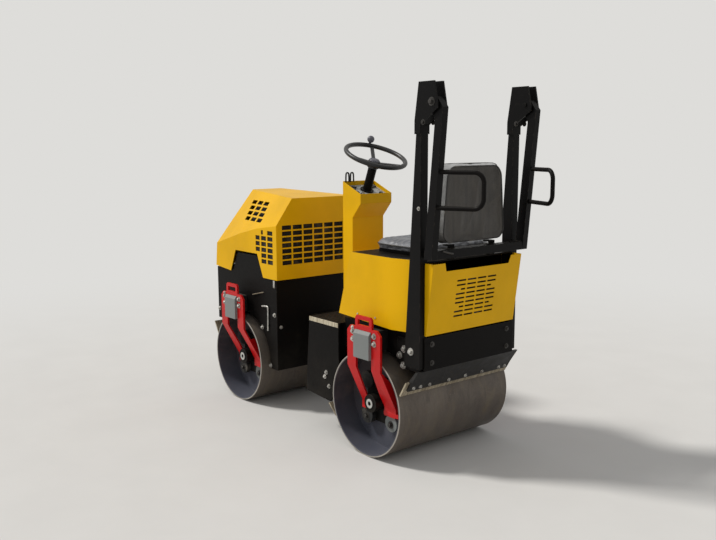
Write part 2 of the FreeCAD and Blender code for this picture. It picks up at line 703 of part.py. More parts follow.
for name, side in SIDES:
    low, high = span(side, "rear_side_y", "post_outer_y")
    steps = [("pad", "XZ", [tube], low, high)]
    low, high = span(side, "post_outer_y - flange_thick", "post_outer_y")
    steps.append(("pad", "XZ", [flange], low, high))
    low, high = span(side, "rear_side_y", "rear_side_y + foot_plate_thick")
    foot = [("post_back_x", "foot_plate_low_z + 33"), ("post_back_x + 50", "foot_plate_low_z"),
            ("post_back_x + foot_plate_long", "foot_plate_low_z"),
            ("post_back_x + foot_plate_long", "foot_plate_top_z"), ("post_back_x", "foot_plate_top_z")]
    steps.append(("pad", "XZ", [foot], low, high))
    steps.append(("cut", "XZ", [arch], low, high))
    for near, far in (("rear_side_y - cheek_thick", "rear_side_y"),
                      ("post_outer_y", "post_outer_y + cheek_thick")):
        low, high = span(side, near, far)
        steps.append(("pad", "XZ", [cheek], low, high))
        if near == "rear_side_y - cheek_thick":
            low, high = span(side, "rear_side_y - cheek_thick", "rear_side_y + 20")
            steps.append(("pad", "XZ", [rect("post_back_x + 5", "flange_top_x - 5", "post_top_z - 40",
                                             "post_top_z - 5")], low, high))
    low, high = span(side, "rear_side_y - cheek_thick - 6", "post_outer_y + cheek_thick + 6")
    steps.append(("pad", "XZ", [circle("hoop_pivot_x", "hoop_pivot_z", "hoop_pin_radius")], low, high))
    piece("post_" + name, steps)

# Folding hoop, folded down behind the posts
leg = [
    ("hoop_low_back_x", "hoop_low_z"), ("hoop_low_front_x", "hoop_low_z"),
    ("hoop_top_front_x", "hoop_top_z - 55"),
    ("hoop_pivot_x + 20", "hoop_pivot_z - 20"), ("hoop_pivot_x + 20", "hoop_pivot_z + 12"),
    ("hoop_pivot_x + 10", "hoop_pivot_z + 22"), ("hoop_pivot_x - 20", "hoop_pivot_z + 22"),
    ("hoop_top_back_x", "hoop_top_z"),
]
low_bar = rect("hoop_low_back_x", "hoop_low_front_x", "hoop_low_z", "hoop_low_z + hoop_bar_tall")
steps = [("pad", "XZ", [low_bar], "-hoop_leg_out", "hoop_leg_out")]
for name, side in SIDES:
    low, high = span(side, "hoop_leg_in", "hoop_leg_out")
    steps.append(("pad", "XZ", [leg], low, high))
steps.append(("cut", "XZ", [circle("hoop_pivot_x", "hoop_pivot_z", "hoop_pin_radius + running_gap")],
              "-hoop_leg_out", "hoop_leg_out"))
piece("roll_hoop", steps)

# Grab handles: bent tubes on the rear faces of the hoop's legs
leg_lean = "(hoop_top_back_x - hoop_low_back_x) / (hoop_top_z - hoop_low_z)"
handle_root_x = "hoop_low_back_x + (handle_z - hoop_low_z) * " + leg_lean
leg_corners = [FreeCAD.Vector(number(x), -number("hoop_leg_out"), number(z)) for x, z in leg + leg[:1]]
leg_prism = Part.Face(Part.makePolygon(leg_corners)).extrude(FreeCAD.Vector(0, number("2 * hoop_leg_out"), 0))
for name, side in SIDES:
    across = side * number("(hoop_leg_in + hoop_leg_out) / 2 + 10")
    root = FreeCAD.Vector(number(handle_root_x + " + handle_seat"), across, 0)
    out = FreeCAD.Rotation(ABOUT_Z, side * number("handle_turn")).multVec(FreeCAD.Vector(-1, 0, 0))
    up = FreeCAD.Vector(0, 0, number("handle_tall") / 2)
    level = FreeCAD.Vector(0, 0, number("handle_z"))
    bend = number("handle_bend")
    deep = number("handle_deep + handle_seat")
    rise = FreeCAD.Vector(0, 0, 1)
    top = root + level + up
    low = root + level - up
    corner = 1 - 0.5 ** 0.5
    runs = [
        Part.LineSegment(top, top + out * (deep - bend)).toShape(),
        Part.Arc(top + out * (deep - bend), top + out * (deep - bend * corner) - rise * bend * corner,
                 top + out * deep - rise * bend).toShape(),
        Part.LineSegment(top + out * deep - rise * bend, low + out * deep + rise * bend).toShape(),
        Part.Arc(low + out * deep + rise * bend, low + out * (deep - bend * corner) + rise * bend * corner,
                 low + out * (deep - bend)).toShape(),
        Part.LineSegment(low + out * (deep - bend), low).toShape(),
    ]
    path = Part.Wire(runs)
    ring = Part.Wire([Part.makeCircle(number("handle_radius"), top, out)])
    tube = path.makePipeShell([ring], True, False)
    handle = doc.addObject("Part::Feature", "handle_" + name)
    handle.Label = "handle_" + name
    handle.Shape = max(tube.cut(leg_prism).Solids, key=lambda solid: solid.Volume)
    seat(handle)
    PARTS.append(handle)

# Articulated joint: tongue on the platform, ears with the pin on the front frame
tongue = [
    ("platform_toe_x - 16", "-hitch_radius"), ("pivot_x", "-hitch_radius"), ("pivot_x", "hitch_radius"),
    ("platform_toe_x - 16", "hitch_radius"),
]
tongue_low, tongue_high = "hitch_z - hitch_tall / 2", "hitch_z + hitch_tall / 2"
nose = circle("pivot_x", "0", "hitch_radius")
bore = circle("pivot_x", "0", "pivot_pin_radius + running_gap")
piece("rear_hitch", [
    ("pad", "XY", [tongue], tongue_low, tongue_high),
    ("pad", "XY", [nose], tongue_low, tongue_high),
    ("cut", "XY", [bore], tongue_low, tongue_high),
    ("cut", "XZ", [[("platform_toe_x - 30", "platform_toe_z"), ("platform_toe_x", "platform_toe_z"),
                    ("platform_front_x", "platform_z"), ("platform_front_x - 30", "platform_z")]],
     "-hitch_radius", "hitch_radius"),
])
ear = [("pivot_x", "-hitch_radius"), ("front_rear_x", "-hitch_radius - 40"),
       ("front_rear_x", "hitch_radius + 40"), ("pivot_x", "hitch_radius")]
steps = [("pad", "YZ", [rect("-hitch_radius - 40", "hitch_radius + 40", "hitch_z - hitch_tall / 2 - 60",
                             "hitch_z + hitch_tall / 2 + 60")], "front_rear_x - 12", "front_rear_x")]
for low, high in (("hitch_z + hitch_tall / 2 + hitch_gap", "hitch_z + hitch_tall / 2 + hitch_gap + hitch_ear"),
                  ("hitch_z - hitch_tall / 2 - hitch_gap - hitch_ear", "hitch_z - hitch_tall / 2 - hitch_gap")):
    steps.append(("pad", "XY", [ear], low, high))
    steps.append(("pad", "XY", [nose], low, high))
steps.append(("pad", "XY", [circle("pivot_x", "0", "pivot_pin_radius")],
              "hitch_z - hitch_tall / 2 - hitch_gap - hitch_ear - 8",
              "hitch_z + hitch_tall / 2 + hitch_gap + hitch_ear + 8"))
eye_low, eye_high = "hitch_z - eye_tall / 2", "hitch_z + eye_tall / 2"
EAR_LEVELS = (
    (eye_high + " + eye_gap", eye_high + " + eye_gap + eye_ear"),
    (eye_low + " - eye_gap - eye_ear", eye_low + " - eye_gap"),
)
rod_ear = [("rod_pin_x - 24", "cylinder_y - 26"), ("front_rear_x", "cylinder_y - 36"),
           ("front_rear_x", "cylinder_y + 36"), ("rod_pin_x - 24", "cylinder_y + 26")]
for low, high in EAR_LEVELS:
    steps.append(("pad", "XY", [rod_ear], low, high))
steps.append(("pad", "YZ", [rect("cylinder_y - 36", "cylinder_y + 36", eye_low + " - eye_gap - eye_ear",
                                 eye_high + " + eye_gap + eye_ear")], "front_rear_x - 10", "front_rear_x"))
piece("front_hitch", steps)

# Steering cylinder and its rear bracket
barrel_eye = circle("barrel_pin_x", "cylinder_y", "eye_radius")
rod_eye = circle("rod_pin_x", "cylinder_y", "eye_radius")
bracket_ear = [("barrel_pin_x - 40", "cylinder_y - 24"), ("barrel_pin_x + 12", "cylinder_y - 24"),
               ("barrel_pin_x + 12", "cylinder_y + 24"), ("barrel_pin_x - 40", "cylinder_y + 24")]
back_plate = rect("cylinder_y - 24", "cylinder_y + 24", "hitch_z - eye_tall / 2 - eye_gap - eye_ear",
                  "platform_z - platform_floor")
steps = [("pad", "YZ", [back_plate], "barrel_pin_x - 52", "barrel_pin_x - 40")]
for low, high in EAR_LEVELS:
    steps.append(("pad", "XY", [bracket_ear], low, high))
steps.append(("pad", "XY", [circle("barrel_pin_x", "cylinder_y", "eye_pin_radius")],
              "hitch_z - eye_tall / 2 - eye_gap - eye_ear", "hitch_z + eye_tall / 2 + eye_gap + eye_ear"))
piece("cylinder_bracket", steps)
piece("steering_barrel", [
    ("pad", "YZ", [circle("cylinder_y", "hitch_z", "cylinder_radius")],
     "barrel_pin_x + 16", "barrel_pin_x + 262"),
    ("cut", "YZ", [circle("cylinder_y", "hitch_z", "cylinder_bore")],
     "barrel_pin_x + 36", "barrel_pin_x + 244"),
    ("cut", "YZ", [circle("cylinder_y", "hitch_z", "rod_radius + running_gap")],
     "barrel_pin_x + 240", "barrel_pin_x + 264"),
    ("pad", "XY", [barrel_eye], eye_low, eye_high),
    ("cut", "XY", [circle("barrel_pin_x", "cylinder_y", "eye_pin_radius + running_gap")],
     "hitch_z - cylinder_radius - 1", "hitch_z + cylinder_radius + 1"),
])
piece("steering_rod", [
    ("pad", "YZ", [circle("cylinder_y", "hitch_z", "rod_radius")], "rod_pin_x - 250", "rod_pin_x - 10"),
    ("pad", "YZ", [circle("cylinder_y", "hitch_z", "cylinder_bore - running_gap")],
     "rod_pin_x - 250", "rod_pin_x - 236"),
    ("pad", "XY", [rod_eye], eye_low, eye_high),
])

# Front frame: side plates with drum arch and hump, rear, front and deck plates
front_side = [
    ("front_rear_x", "front_low_z"), ("front_rear_x", "front_sill_z"), ("hump_rear_x", "front_sill_z"),
    ("hump_rear_x + hump_slant", "hump_top_z"), ("hump_front_x - hump_slant", "hump_top_z"),
    ("hump_front_x", "front_sill_z"), ("front_nose_x", "front_sill_z"), ("front_nose_x", "front_chin_z"),
    ("wheelbase", "front_chin_z"), ("wheelbase", "front_low_z"),
]
front_arch = circle("wheelbase", "drum_radius", "arch_radius")
steps = [
    ("pad", "YZ", [rect("-front_frame_half", "front_frame_half", "front_low_z", "front_sill_z")],
     "front_rear_x", "front_rear_x + 8"),
    ("pad", "XY", [rect("front_rear_x", "front_nose_x", "-front_frame_half", "front_frame_half")],
     "front_deck_z - 10", "front_deck_z"),
    ("pad", "YZ", [rect("-front_frame_half", "front_frame_half", "front_chin_z", "front_sill_z")],
     "front_nose_x - 8", "front_nose_x"),
]
for name, side in SIDES:
    low, high = span(side, "front_frame_half - frame_plate", "front_frame_half")
    steps.append(("pad", "XZ", [front_side], low, high))
steps.append(("cut", "XZ", [front_arch], "-front_frame_half", "front_frame_half"))
# ears and pins of the hood's hinges on the nose
hinge_ear = [("front_nose_x", "hood_hinge_z - 70"), ("front_nose_x", "hood_hinge_z"),
             ("hood_hinge_x", "hood_hinge_z + 8"), ("hood_hinge_x + 8", "hood_hinge_z"),
             ("hood_hinge_x + 2", "hood_hinge_z - 12"), ("front_nose_x + 5", "hood_hinge_z - 70")]
for name, side in SIDES:
    for near in ("hinge_y", "hinge_y + hinge_ear + hinge_long + 2"):
        low, high = span(side, near, near + " + hinge_ear")
        steps.append(("pad", "XZ", [hinge_ear], low, high))
    low, high = span(side, "hinge_y", "hinge_y + hinge_long + 2 * hinge_ear + 2")
    steps.append(("pad", "XZ", [circle("hood_hinge_x", "hood_hinge_z", "hinge_pin_radius")], low, high))
piece("front_frame", steps)

# Engine as one plain block on four feet
block = rect("engine_front_x - engine_long", "engine_front_x", "-engine_wide / 2", "engine_wide / 2")
steps = [("pad", "XY", [block], "front_deck_z + engine_foot_tall",
          "front_deck_z + engine_foot_tall + engine_tall")]
feet = []
for left in ("engine_front_x - engine_long + 20", "engine_front_x - 70"):
    for low in ("-engine_wide / 2 + 10", "engine_wide / 2 - 60"):
        feet.append(rect(left, left + " + 50", low, low + " + 50"))
steps.append(("pad", "XY", feet, "front_deck_z", "front_deck_z + engine_foot_tall"))
piece("engine", steps)

# Hood: sections along X, each with its crease and top fold
HOOD_SECTIONS = [
    # x, crease_z, fold_y, top_z
    (848, 1098, 223, 1251),
    (1050, 1070, 184, 1259),
    (1250, 1025, 146, 1267),
    (1553, 938, 88, 1279),
]


def loose_sketch(name, plane, height, loops):
    """A sketch outside a body, on a plane through the rear axle."""
    sketch = doc.addObject("Sketcher::SketchObject", name)
    turns = {"XY": FreeCAD.Rotation(), "XZ": FreeCAD.Rotation(FreeCAD.Vector(1, 0, 0), 90),
             "YZ": FreeCAD.Rotation(0.5, 0.5, 0.5, 0.5)}
    sketch.Placement = FreeCAD.Placement(FreeCAD.Vector(), turns[plane])
    axis = {"XY": "z", "XZ": "y", "YZ": "x"}[plane]
    sketch.setExpression("Placement.Base." + axis, bound(height))
    draw(sketch, loops)
    return sketch


def hood_loft(name, inset, drop):
    sections = []
    for across, crease, fold, top in HOOD_SECTIONS:
        wide = "(hood_half - %s)" % inset
        outline = [("-" + wide, "hood_sill_z - %s" % drop), (wide, "hood_sill_z - %s" % drop),
                   (wide, "%s - %s / 3" % (crease, inset)),
                   ("%s - %s / 2" % (fold, inset), "%s - %s" % (top, inset)),
                   ("-(%s - %s / 2)" % (fold, inset), "%s - %s" % (top, inset)),
                   ("-" + wide, "%s - %s / 3" % (crease, inset))]
        place = str(across)
        if across == HOOD_SECTIONS[0][0]:
            place = "hood_rear_x + %s" % inset
        sections.append(loose_sketch(name + "_section", "YZ", place, [outline]))
    loft = doc.addObject("Part::Loft", name)
    loft.Sections = sections
    loft.Solid = True
    loft.Ruled = True
    return loft


def extruded(name, plane, loops, low, high):
    sketch = loose_sketch(name + "_outline", plane, low, loops)
    block = doc.addObject("Part::Extrusion", name)
    block.Base = sketch
    block.DirMode = "Custom"
    block.Dir = {"XY": ABOUT_Z, "XZ": ABOUT_Y, "YZ": ABOUT_X}[plane]
    block.Solid = True
    block.setExpression("LengthFwd", bound("(%s) - (%s)" % (high, low)))
    return block


def both(kind, name, base, tool):
    result = doc.addObject(kind, name)
    result.Base = base
    result.Tool = tool
    return result


def silhouette(inset, drop):
    return [("hood_rear_x - 20 + (%s) * 7.7" % inset, "hood_sill_z - %s" % drop),
            ("hood_lip_x - %s" % inset, "hood_sill_z - %s" % drop),
            ("hood_nose_x - %s" % inset, "hood_nose_z"), ("hood_brow_x - %s" % inset, "hood_brow_z + 10"),
            ("hood_rear_x - 20 + (%s) * 7.7" % inset, "hood_brow_z + 10")]


outer = both("Part::Common", "hood_outer", hood_loft("hood_skin", "0", "0"),
             extruded("hood_side", "XZ", [silhouette("0", "0")], "-hood_half - 10", "hood_half + 10"))
inner = both("Part::Common", "hood_inner", hood_loft("hood_core", "sheet_steel", "50"),
             extruded("hood_core_side", "XZ", [silhouette("sheet_steel", "50")], "-hood_half", "hood_half"))
shell = both("Part::Cut", "hood_shell", outer, inner)

cutout = [("hump_rear_x - cut_gap", "hood_sill_z - 10"), ("hump_rear_x - cut_gap", "hood_sill_z"),
          ("hump_rear_x + hump_slant - cut_gap", "hump_top_z + cut_gap"),
          ("hump_front_x - hump_slant + cut_gap", "hump_top_z + cut_gap"),
          ("hump_front_x + cut_gap", "hood_sill_z"), ("hump_front_x + cut_gap", "hood_sill_z - 10")]
rise = [("hump_front_x", "hood_sill_z - 10"), ("hump_front_x", "hood_sill_z"),
        ("hood_lip_x + 10", "hood_sill_z + 17"), ("hood_lip_x + 10", "hood_sill_z - 10")]


def box(name, ends):
    """A plain box from its low and high ends along X, Y and Z."""
    block = doc.addObject("Part::Box", name)
    for axis, field, (low, high) in zip("xyz", ("Length", "Width", "Height"), ends):
        block.setExpression("Placement.Base." + axis, bound(low))
        block.setExpression(field, bound("(%s) - (%s)" % (high, low)))
    return block


rear_grid = []
for column in range(8):
    for level in range(7):
        across = "(%s) * grid_pitch" % (column - 3.5)
        up = "grid_low_z + (%s + 0.5) * grid_rise" % level
        rear_grid.append(box("rear_vent", [
            ("hood_rear_x - 5", "hood_rear_x + 10"),
            (across + " - grid_slot_wide / 2", across + " + grid_slot_wide / 2"),
            (up + " - grid_slot_tall / 2", up + " + grid_slot_tall / 2")]))
# side grid: distance from the rear corner, slot length, first row, row after the last
side_grid = []
for behind, long, lows, highs in ((40, 56, 0, 6), (109, 54, 0, 5), (141, 22, 5, 6), (178, 46, 2, 5)):
    for level in range(lows, highs):
        back = "hood_rear_x + %d" % behind
        up = "grid_low_z + (%s + 0.5) * grid_rise" % level
        for name, side in SIDES:
            side_grid.append(box("side_vent_" + name, [
                (back, back + " + %d" % long), span(side, "hood_half - 5", "hood_half + 5"),
                (up + " - grid_slot_tall / 2", up + " + grid_slot_tall / 2")]))
# slots in the sloping faces: three columns and four rows, each row a little further ahead
slope_grid = []
for name, side in SIDES:
    turned = (FreeCAD.Rotation(ABOUT_Z, -side * number("slope_yaw"))
              * FreeCAD.Rotation(ABOUT_X, 90 + side * number("slope_lean")))
    first = FreeCAD.Vector(1090, side * 294, 1112)
    along = FreeCAD.Vector(90.7, side * -15.9, 0)
    upward = FreeCAD.Vector(15.2, side * -26.8, 30.9)
    half = FreeCAD.Vector(number("slope_slot_wide") / 2, number("slope_slot_tall") / 2, 15)
    for column in range(3):
        for level in range(4):
            slot = doc.addObject("Part::Box", "slope_vent_" + name)
            slot.setExpression("Length", bound("slope_slot_wide"))
            slot.setExpression("Width", bound("slope_slot_tall"))
            slot.Height = 30
            middle = first + along * column + upward * level
            slot.Placement = FreeCAD.Placement(middle - turned.multVec(half), turned)
            slope_grid.append(slot)

hood = shell
for name, plane, loops, low, high in (
    ("hood_wells", "XZ", [cutout], "-hood_half - 5", "hood_half + 5"),
    ("hood_sill", "XZ", [rise], "-hood_half - 5", "hood_half + 5"),
):
    hood = both("Part::Cut", name + "_cut", hood, extruded(name, plane, loops, low, high))
vents = doc.addObject("Part::Compound", "vents")
vents.Links = rear_grid + side_grid + slope_grid
hood = both("Part::Cut", "vents_cut", hood, vents)
for name, side in SIDES:
    low, high = span(side, "hinge_y + hinge_ear + 1", "hinge_y + hinge_ear + 1 + hinge_long")
    arm = [("hood_hinge_x - 10", "hood_hinge_z"), ("hood_hinge_x + 6", "hood_hinge_z"),
           ("hood_hinge_x + 6", "hood_hinge_z + 12"), ("hood_lip_x + 1", "hood_hinge_z + 60"),
           ("hood_lip_x - 6", "hood_hinge_z + 60"), ("hood_lip_x - 3", "hood_hinge_z + 12")]
    hood = both("Part::Fuse", "hood_arm_" + name, hood, extruded("arm_" + name, "XZ", [arm], low, high))
    knuckle = circle("hood_hinge_x", "hood_hinge_z", "hinge_radius")
    hood = both("Part::Fuse", "hood_knuckle_" + name, hood,
                extruded("knuckle_" + name, "XZ", [knuckle], low, high))
    hood = both("Part::Cut", "hood_eye_" + name, hood,
                extruded("eye_" + name, "XZ", [circle("hood_hinge_x", "hood_hinge_z",
                                                     "hinge_pin_radius + running_gap")], low, high))
hood.Label = "hood"
seat(hood)
PARTS.append(hood)

# Scrapers: a blade that nearly touches the drum, a backing bar and two arms to the frame
SCRAPERS = [
    # name, axle, tip angle, blade lean, half width
    ("scraper_rear_outer", "0", 157, 121, "scraper_half"),
    ("scraper_rear_inner", "0", -26, 41, "scraper_half"),
    ("scraper_front_inner", "wheelbase", 182, 139, "front_frame_half - frame_plate - 3"),
    ("scraper_front_outer", "wheelbase", 23, 59, "scraper_half"),
]
# Corners of each arm where it is bolted to the frame
ARM_SEATS = {
    "scraper_rear_inner": [("platform_back_x", "platform_corner_z - 15"),
                           ("platform_back_x", "platform_corner_z + 40"),
                           ("platform_back_x - 6", "platform_corner_z + 40"),
                           ("platform_back_x - 6", "platform_corner_z - 15")],
    "scraper_front_inner": [("front_rear_x + 8", "front_low_z + 55"),
                            ("front_rear_x + 8", "front_low_z + 115"),
                            ("front_rear_x + 18", "front_low_z + 115"),
                            ("front_rear_x + 18", "front_low_z + 80")],
    "scraper_front_outer": [("front_nose_x", "front_chin_z - 10"), ("front_nose_x", "front_chin_z + 40"),
                            ("front_nose_x + 10", "front_chin_z + 40"),
                            ("front_nose_x + 10", "front_chin_z - 25")],
}
for name, axle, tip, lean, half in SCRAPERS:
    reach = "(drum_radius + scraper_gap)"
    tip_x = "%s + %s * cos(%d)" % (axle, reach, tip)
    tip_z = "drum_radius + %s * sin(%d)" % (reach, tip)
    away = -1 if (lean - tip) % 360 > 180 else 1

    def beside(share, off):
        """A corner along the blade, by its share of the depth and its distance off the inner face."""
        turn_x = "%s * scraper_deep * cos(%d) + %d * (%s) * sin(%d)" % (share, lean, away, off, lean)
        turn_z = "%s * scraper_deep * sin(%d) - %d * (%s) * cos(%d)" % (share, lean, away, off, lean)
        return (tip_x + " + " + turn_x, tip_z + " + " + turn_z)

    blade = [beside(0, "0"), beside(1, "0"), beside(1, "scraper_blade"), beside(0, "scraper_blade")]
    bar = [beside(0.45, "scraper_blade"), beside(1, "scraper_blade"), beside(1, "scraper_blade + 12"),
           beside(0.45, "scraper_blade + 12")]
    steps = [("pad", "XZ", [blade], "-(%s)" % half, half),
             ("pad", "XZ", [bar], "-(%s) + 20" % half, half + " - 20")]
    if name == "scraper_rear_outer":
        # one wide plate carries the blade, behind the lower edge of the frame's rear plate
        carrier = [beside(1, "0"), ("post_back_x + 8", "rear_low_z"), ("rear_panel_x", "rear_low_z"),
                   beside(1, "scraper_blade + 12")]
        lap = rect("post_back_x", "post_back_x + 8", "rear_low_z", "rear_low_z + 40")
        steps.append(("pad", "XZ", [carrier], "-(%s) + 20" % half, half + " - 20"))
        lap_half = "rear_side_y - frame_plate - 10"
        steps.append(("pad", "XZ", [lap], "-(%s)" % lap_half, lap_half))
    else:
        for side_name, side in SIDES:
            low, high = span(side, "200", "230")
            steps.append(("pad", "XZ", [[beside(0.7, "scraper_blade + 2"), beside(0.98, "scraper_blade + 2")]
                                        + ARM_SEATS[name]], low, high))
    piece(name, steps)

doc.recompute()
for item in doc.Objects:
    for state in ("Invalid", "Error"):
        if state in item.State:
            raise RuntimeError("%s is %s" % (item.Label, state))
for body in PARTS:
    if body.TypeId != "PartDesign::Body":
        continue
    before = 0
    for feature in body.Group:
        if feature.TypeId not in ("PartDesign::Pad", "PartDesign::Pocket"):
            continue
        grown = feature.Shape.Volume - before
        if (grown <= 0) != (feature.TypeId == "PartDesign::Pocket"):
            raise RuntimeError("%s of %s goes the wrong way" % (feature.Label, body.Label))
        before = feature.Shape.Volume
os.makedirs("parts", exist_ok=True)
for item in PARTS:
    shape = item.Shape
    if shape.isNull() or not shape.isValid() or not shape.Solids:
        raise RuntimeError("bad shape: " + item.Label)
for item in PARTS:
    item.Shape.exportStep("parts/%s.step" % item.Label)
whole = Part.makeCompound([item.Shape for item in PARTS]).BoundBox
print("nodes", len(PARTS), "box", whole)
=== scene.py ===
import json
import math

import bmesh
import bpy
from mathutils import Matrix, Vector, noise
from mathutils.bvhtree import BVHTree
from mathutils.kdtree import KDTree


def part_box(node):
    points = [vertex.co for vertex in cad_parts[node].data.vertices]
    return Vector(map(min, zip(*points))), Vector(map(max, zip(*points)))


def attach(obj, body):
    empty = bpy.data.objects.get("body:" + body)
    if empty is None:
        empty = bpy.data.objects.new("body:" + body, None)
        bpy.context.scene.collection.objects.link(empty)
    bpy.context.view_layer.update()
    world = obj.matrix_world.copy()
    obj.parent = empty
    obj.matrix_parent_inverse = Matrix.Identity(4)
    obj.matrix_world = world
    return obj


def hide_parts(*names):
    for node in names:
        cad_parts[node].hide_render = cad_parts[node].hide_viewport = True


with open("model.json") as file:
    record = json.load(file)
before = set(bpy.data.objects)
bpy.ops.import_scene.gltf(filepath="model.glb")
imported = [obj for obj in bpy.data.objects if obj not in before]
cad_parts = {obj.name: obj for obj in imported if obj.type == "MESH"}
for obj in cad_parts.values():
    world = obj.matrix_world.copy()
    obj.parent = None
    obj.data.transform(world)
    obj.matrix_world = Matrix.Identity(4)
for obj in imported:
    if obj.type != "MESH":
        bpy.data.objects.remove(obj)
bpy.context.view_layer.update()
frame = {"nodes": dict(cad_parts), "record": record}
nodes = frame["nodes"]

# Places that the rest is worked out from, in metres
rear_low, rear_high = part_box("drum_rear")
front_low, front_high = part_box("drum_front")
REAR_AXLE = (rear_low.x + rear_high.x) / 2
FRONT_AXLE = (front_low.x + front_high.x) / 2
WHEELBASE = 1.230
DRUM_RADIUS = (rear_high.z - rear_low.z) / 2
DRUM_HALF = rear_high.y
STUB_RADIUS = 0.024
STUB_START = 0.350
SCRAPER_GAP = 0.007
BLADE_HEIGHT = 0.085

# Directions, and the machine's sides with the sign of their y
AHEAD = Vector((1, 0, 0))
LEFT = Vector((0, 1, 0))
SIDES = (("left", 1), ("right", -1))


def at(x, y, z):
    """A point given from the rear axle's place on the ground."""
    return Vector((REAR_AXLE + x, y, z))


# Shader helpers

def srgb(red, green, blue):
    """A colour read as 0 to 255 on the screen, as the shader wants it."""
    def linear(value):
        value /= 255
        return value / 12.92 if value <= 0.04045 else ((value + 0.055) / 1.055) ** 2.4
    return (linear(red), linear(green), linear(blue), 1)


class Tree:
    """A node tree, built node by node."""

    def __init__(self, tree):
        self.tree = tree

    def add(self, kind, settings=None, **inputs):
        """A new node. An input is given by its label, with _ for a space, or by i and its number."""
        node = self.tree.nodes.new(kind)
        for key, value in (settings or {}).items():
            setattr(node, key, value)
        for key, value in inputs.items():
            name = int(key[1:]) if key[0] == "i" and key[1:].isdigit() else key.replace("_", " ")
            self.set(node.inputs[name], value)
        return node

    def set(self, socket, value):
        """Links the socket to another one, or sets it to a plain value."""
        if isinstance(value, bpy.types.NodeSocket):
            self.tree.links.new(value, socket)
        else:
            socket.default_value = value

    def math(self, kind, first, second=0.0, clamp=False):
        """The result of a sum, given by the name that Blender has for it."""
        node = self.add("ShaderNodeMath", {"operation": kind, "use_clamp": clamp}, i0=first, i1=second)
        return node.outputs[0]

    def background_rays(self):
        """1 where a ray shows the floor or the backdrop itself, 0 where it lights the object."""
        seen = self.add("ShaderNodeLightPath").outputs
        bent = self.math("MAXIMUM", seen["Is Glossy Ray"], seen["Is Transmission Ray"])
        return self.math("MAXIMUM", seen["Is Camera Ray"], bent)


class Graph(Tree):
    """One material's nodes, around its own shader."""

    def __init__(self, name):
        self.material = bpy.data.materials.new(name)
        self.material.use_nodes = True
        super().__init__(self.material.node_tree)
        self.shader = self.tree.nodes["Principled BSDF"]
        self.place = self.add("ShaderNodeTexCoord").outputs["Object"]
        self.facing = self.place.node.outputs["Normal"]

    def noise(self, scale, detail=4, rough=0.55, stretch=None, warp=0):
        """Clouds from 0 to 1. stretch makes them finer along x, y and z by its three numbers."""
        spot = self.place
        if stretch:
            spot = self.add("ShaderNodeMapping", Vector=spot, Scale=stretch).outputs[0]
        return self.add("ShaderNodeTexNoise", Vector=spot, Scale=scale, Detail=detail,
                        Roughness=rough, Distortion=warp).outputs[0]

    def ramp(self, value, low, high, to_low=0.0, to_high=1.0):
        """A smooth step, to_low where the value is low and to_high where it is high."""
        return self.add("ShaderNodeMapRange", {"interpolation_type": "SMOOTHSTEP"}, Value=value,
                        From_Min=low, From_Max=high, To_Min=to_low, To_Max=to_high).outputs[0]

    def mix(self, share, first, second):
        """A colour between the first, at share 0, and the second, at share 1."""
        node = self.add("ShaderNodeMix", {"data_type": "RGBA"}, i0=share, i6=first, i7=second)
        return node.outputs[2]

    def part(self, vector, axis):
        """The vector's x, y or z, for axis 0, 1 or 2."""
        return self.add("ShaderNodeSeparateXYZ", Vector=vector).outputs[axis]

    def layers(self, colour, rows):
        """Colours laid over each other, each where its pattern goes from start to full.

        A row is the pattern, its start, where it is full, how much it then covers, and the colour.
        """
        for pattern, start, full, most, laid in rows:
            colour = self.mix(self.ramp(pattern, start, full, 0, most), colour, laid)
        return colour

    def along(self, start, direction):
        """How far the spot lies from the start, measured along the direction."""
        away = self.add("ShaderNodeVectorMath", {"operation": "SUBTRACT"},
                        i0=self.place, i1=start).outputs[0]
        return self.add("ShaderNodeVectorMath", {"operation": "DOT_PRODUCT"},
                        i0=away, i1=direction).outputs["Value"]

    def far(self, centre):
        """How far the spot lies from the centre."""
        return self.add("ShaderNodeVectorMath", {"operation": "DISTANCE"},
                        i0=self.place, i1=centre).outputs["Value"]

    def bump(self, height, strength, distance, normal=None):
        """The surface's normal with fine relief, over another one if it is given."""
        inputs = {"Height": height, "Strength": strength, "Distance": distance}
        if normal:
            inputs["Normal"] = normal
        return self.add("ShaderNodeBump", **inputs).outputs[0]

    def edges(self, radius):
        """1 near an outer edge, 0 on the flat."""
        rounded = self.add("ShaderNodeBevel", {"samples": 6}, Radius=radius).outputs[0]
        true = self.add("ShaderNodeNewGeometry").outputs["Normal"]
        turn = self.add("ShaderNodeVectorMath", {"operation": "DOT_PRODUCT"},
                        i0=rounded, i1=true).outputs["Value"]
        return self.ramp(turn, 0.995, 0.86)

    def finish(self, colour, rough, normal=None, **fixed):
        """Sets the shader's inputs, those in fixed by their labels, and gives the material."""
        self.set(self.shader.inputs["Base Color"], colour)
        self.set(self.shader.inputs["Roughness"], rough)
        if normal:
            self.set(self.shader.inputs["Normal"], normal)
        for key, value in fixed.items():
            self.set(self.shader.inputs[key.replace("_", " ")], value)
        return self.material


# Dirt and wear that lie over the finishes
DUST = srgb(146, 136, 120)
PRIMER = srgb(74, 66, 58)
DRY_MUD = srgb(120, 108, 90)
DAMP_STEEL = srgb(70, 64, 60)
DEEP_SCORE = srgb(54, 48, 44)
BRIGHT_SCORE = srgb(136, 127, 115)
ROLLED_RUST = srgb(122, 100, 68)
PALE_GRIT = srgb(140, 131, 119)
BLADE_RUST = srgb(104, 84, 60)
BAR_DIRT = srgb(62, 56, 48)
STEEL_RUST = srgb(112, 82, 56)
VINYL_DIRT = srgb(84, 79, 70)

PAINT_BLACK = srgb(17, 15, 14)
PAINT_GREY = srgb(122, 126, 124)


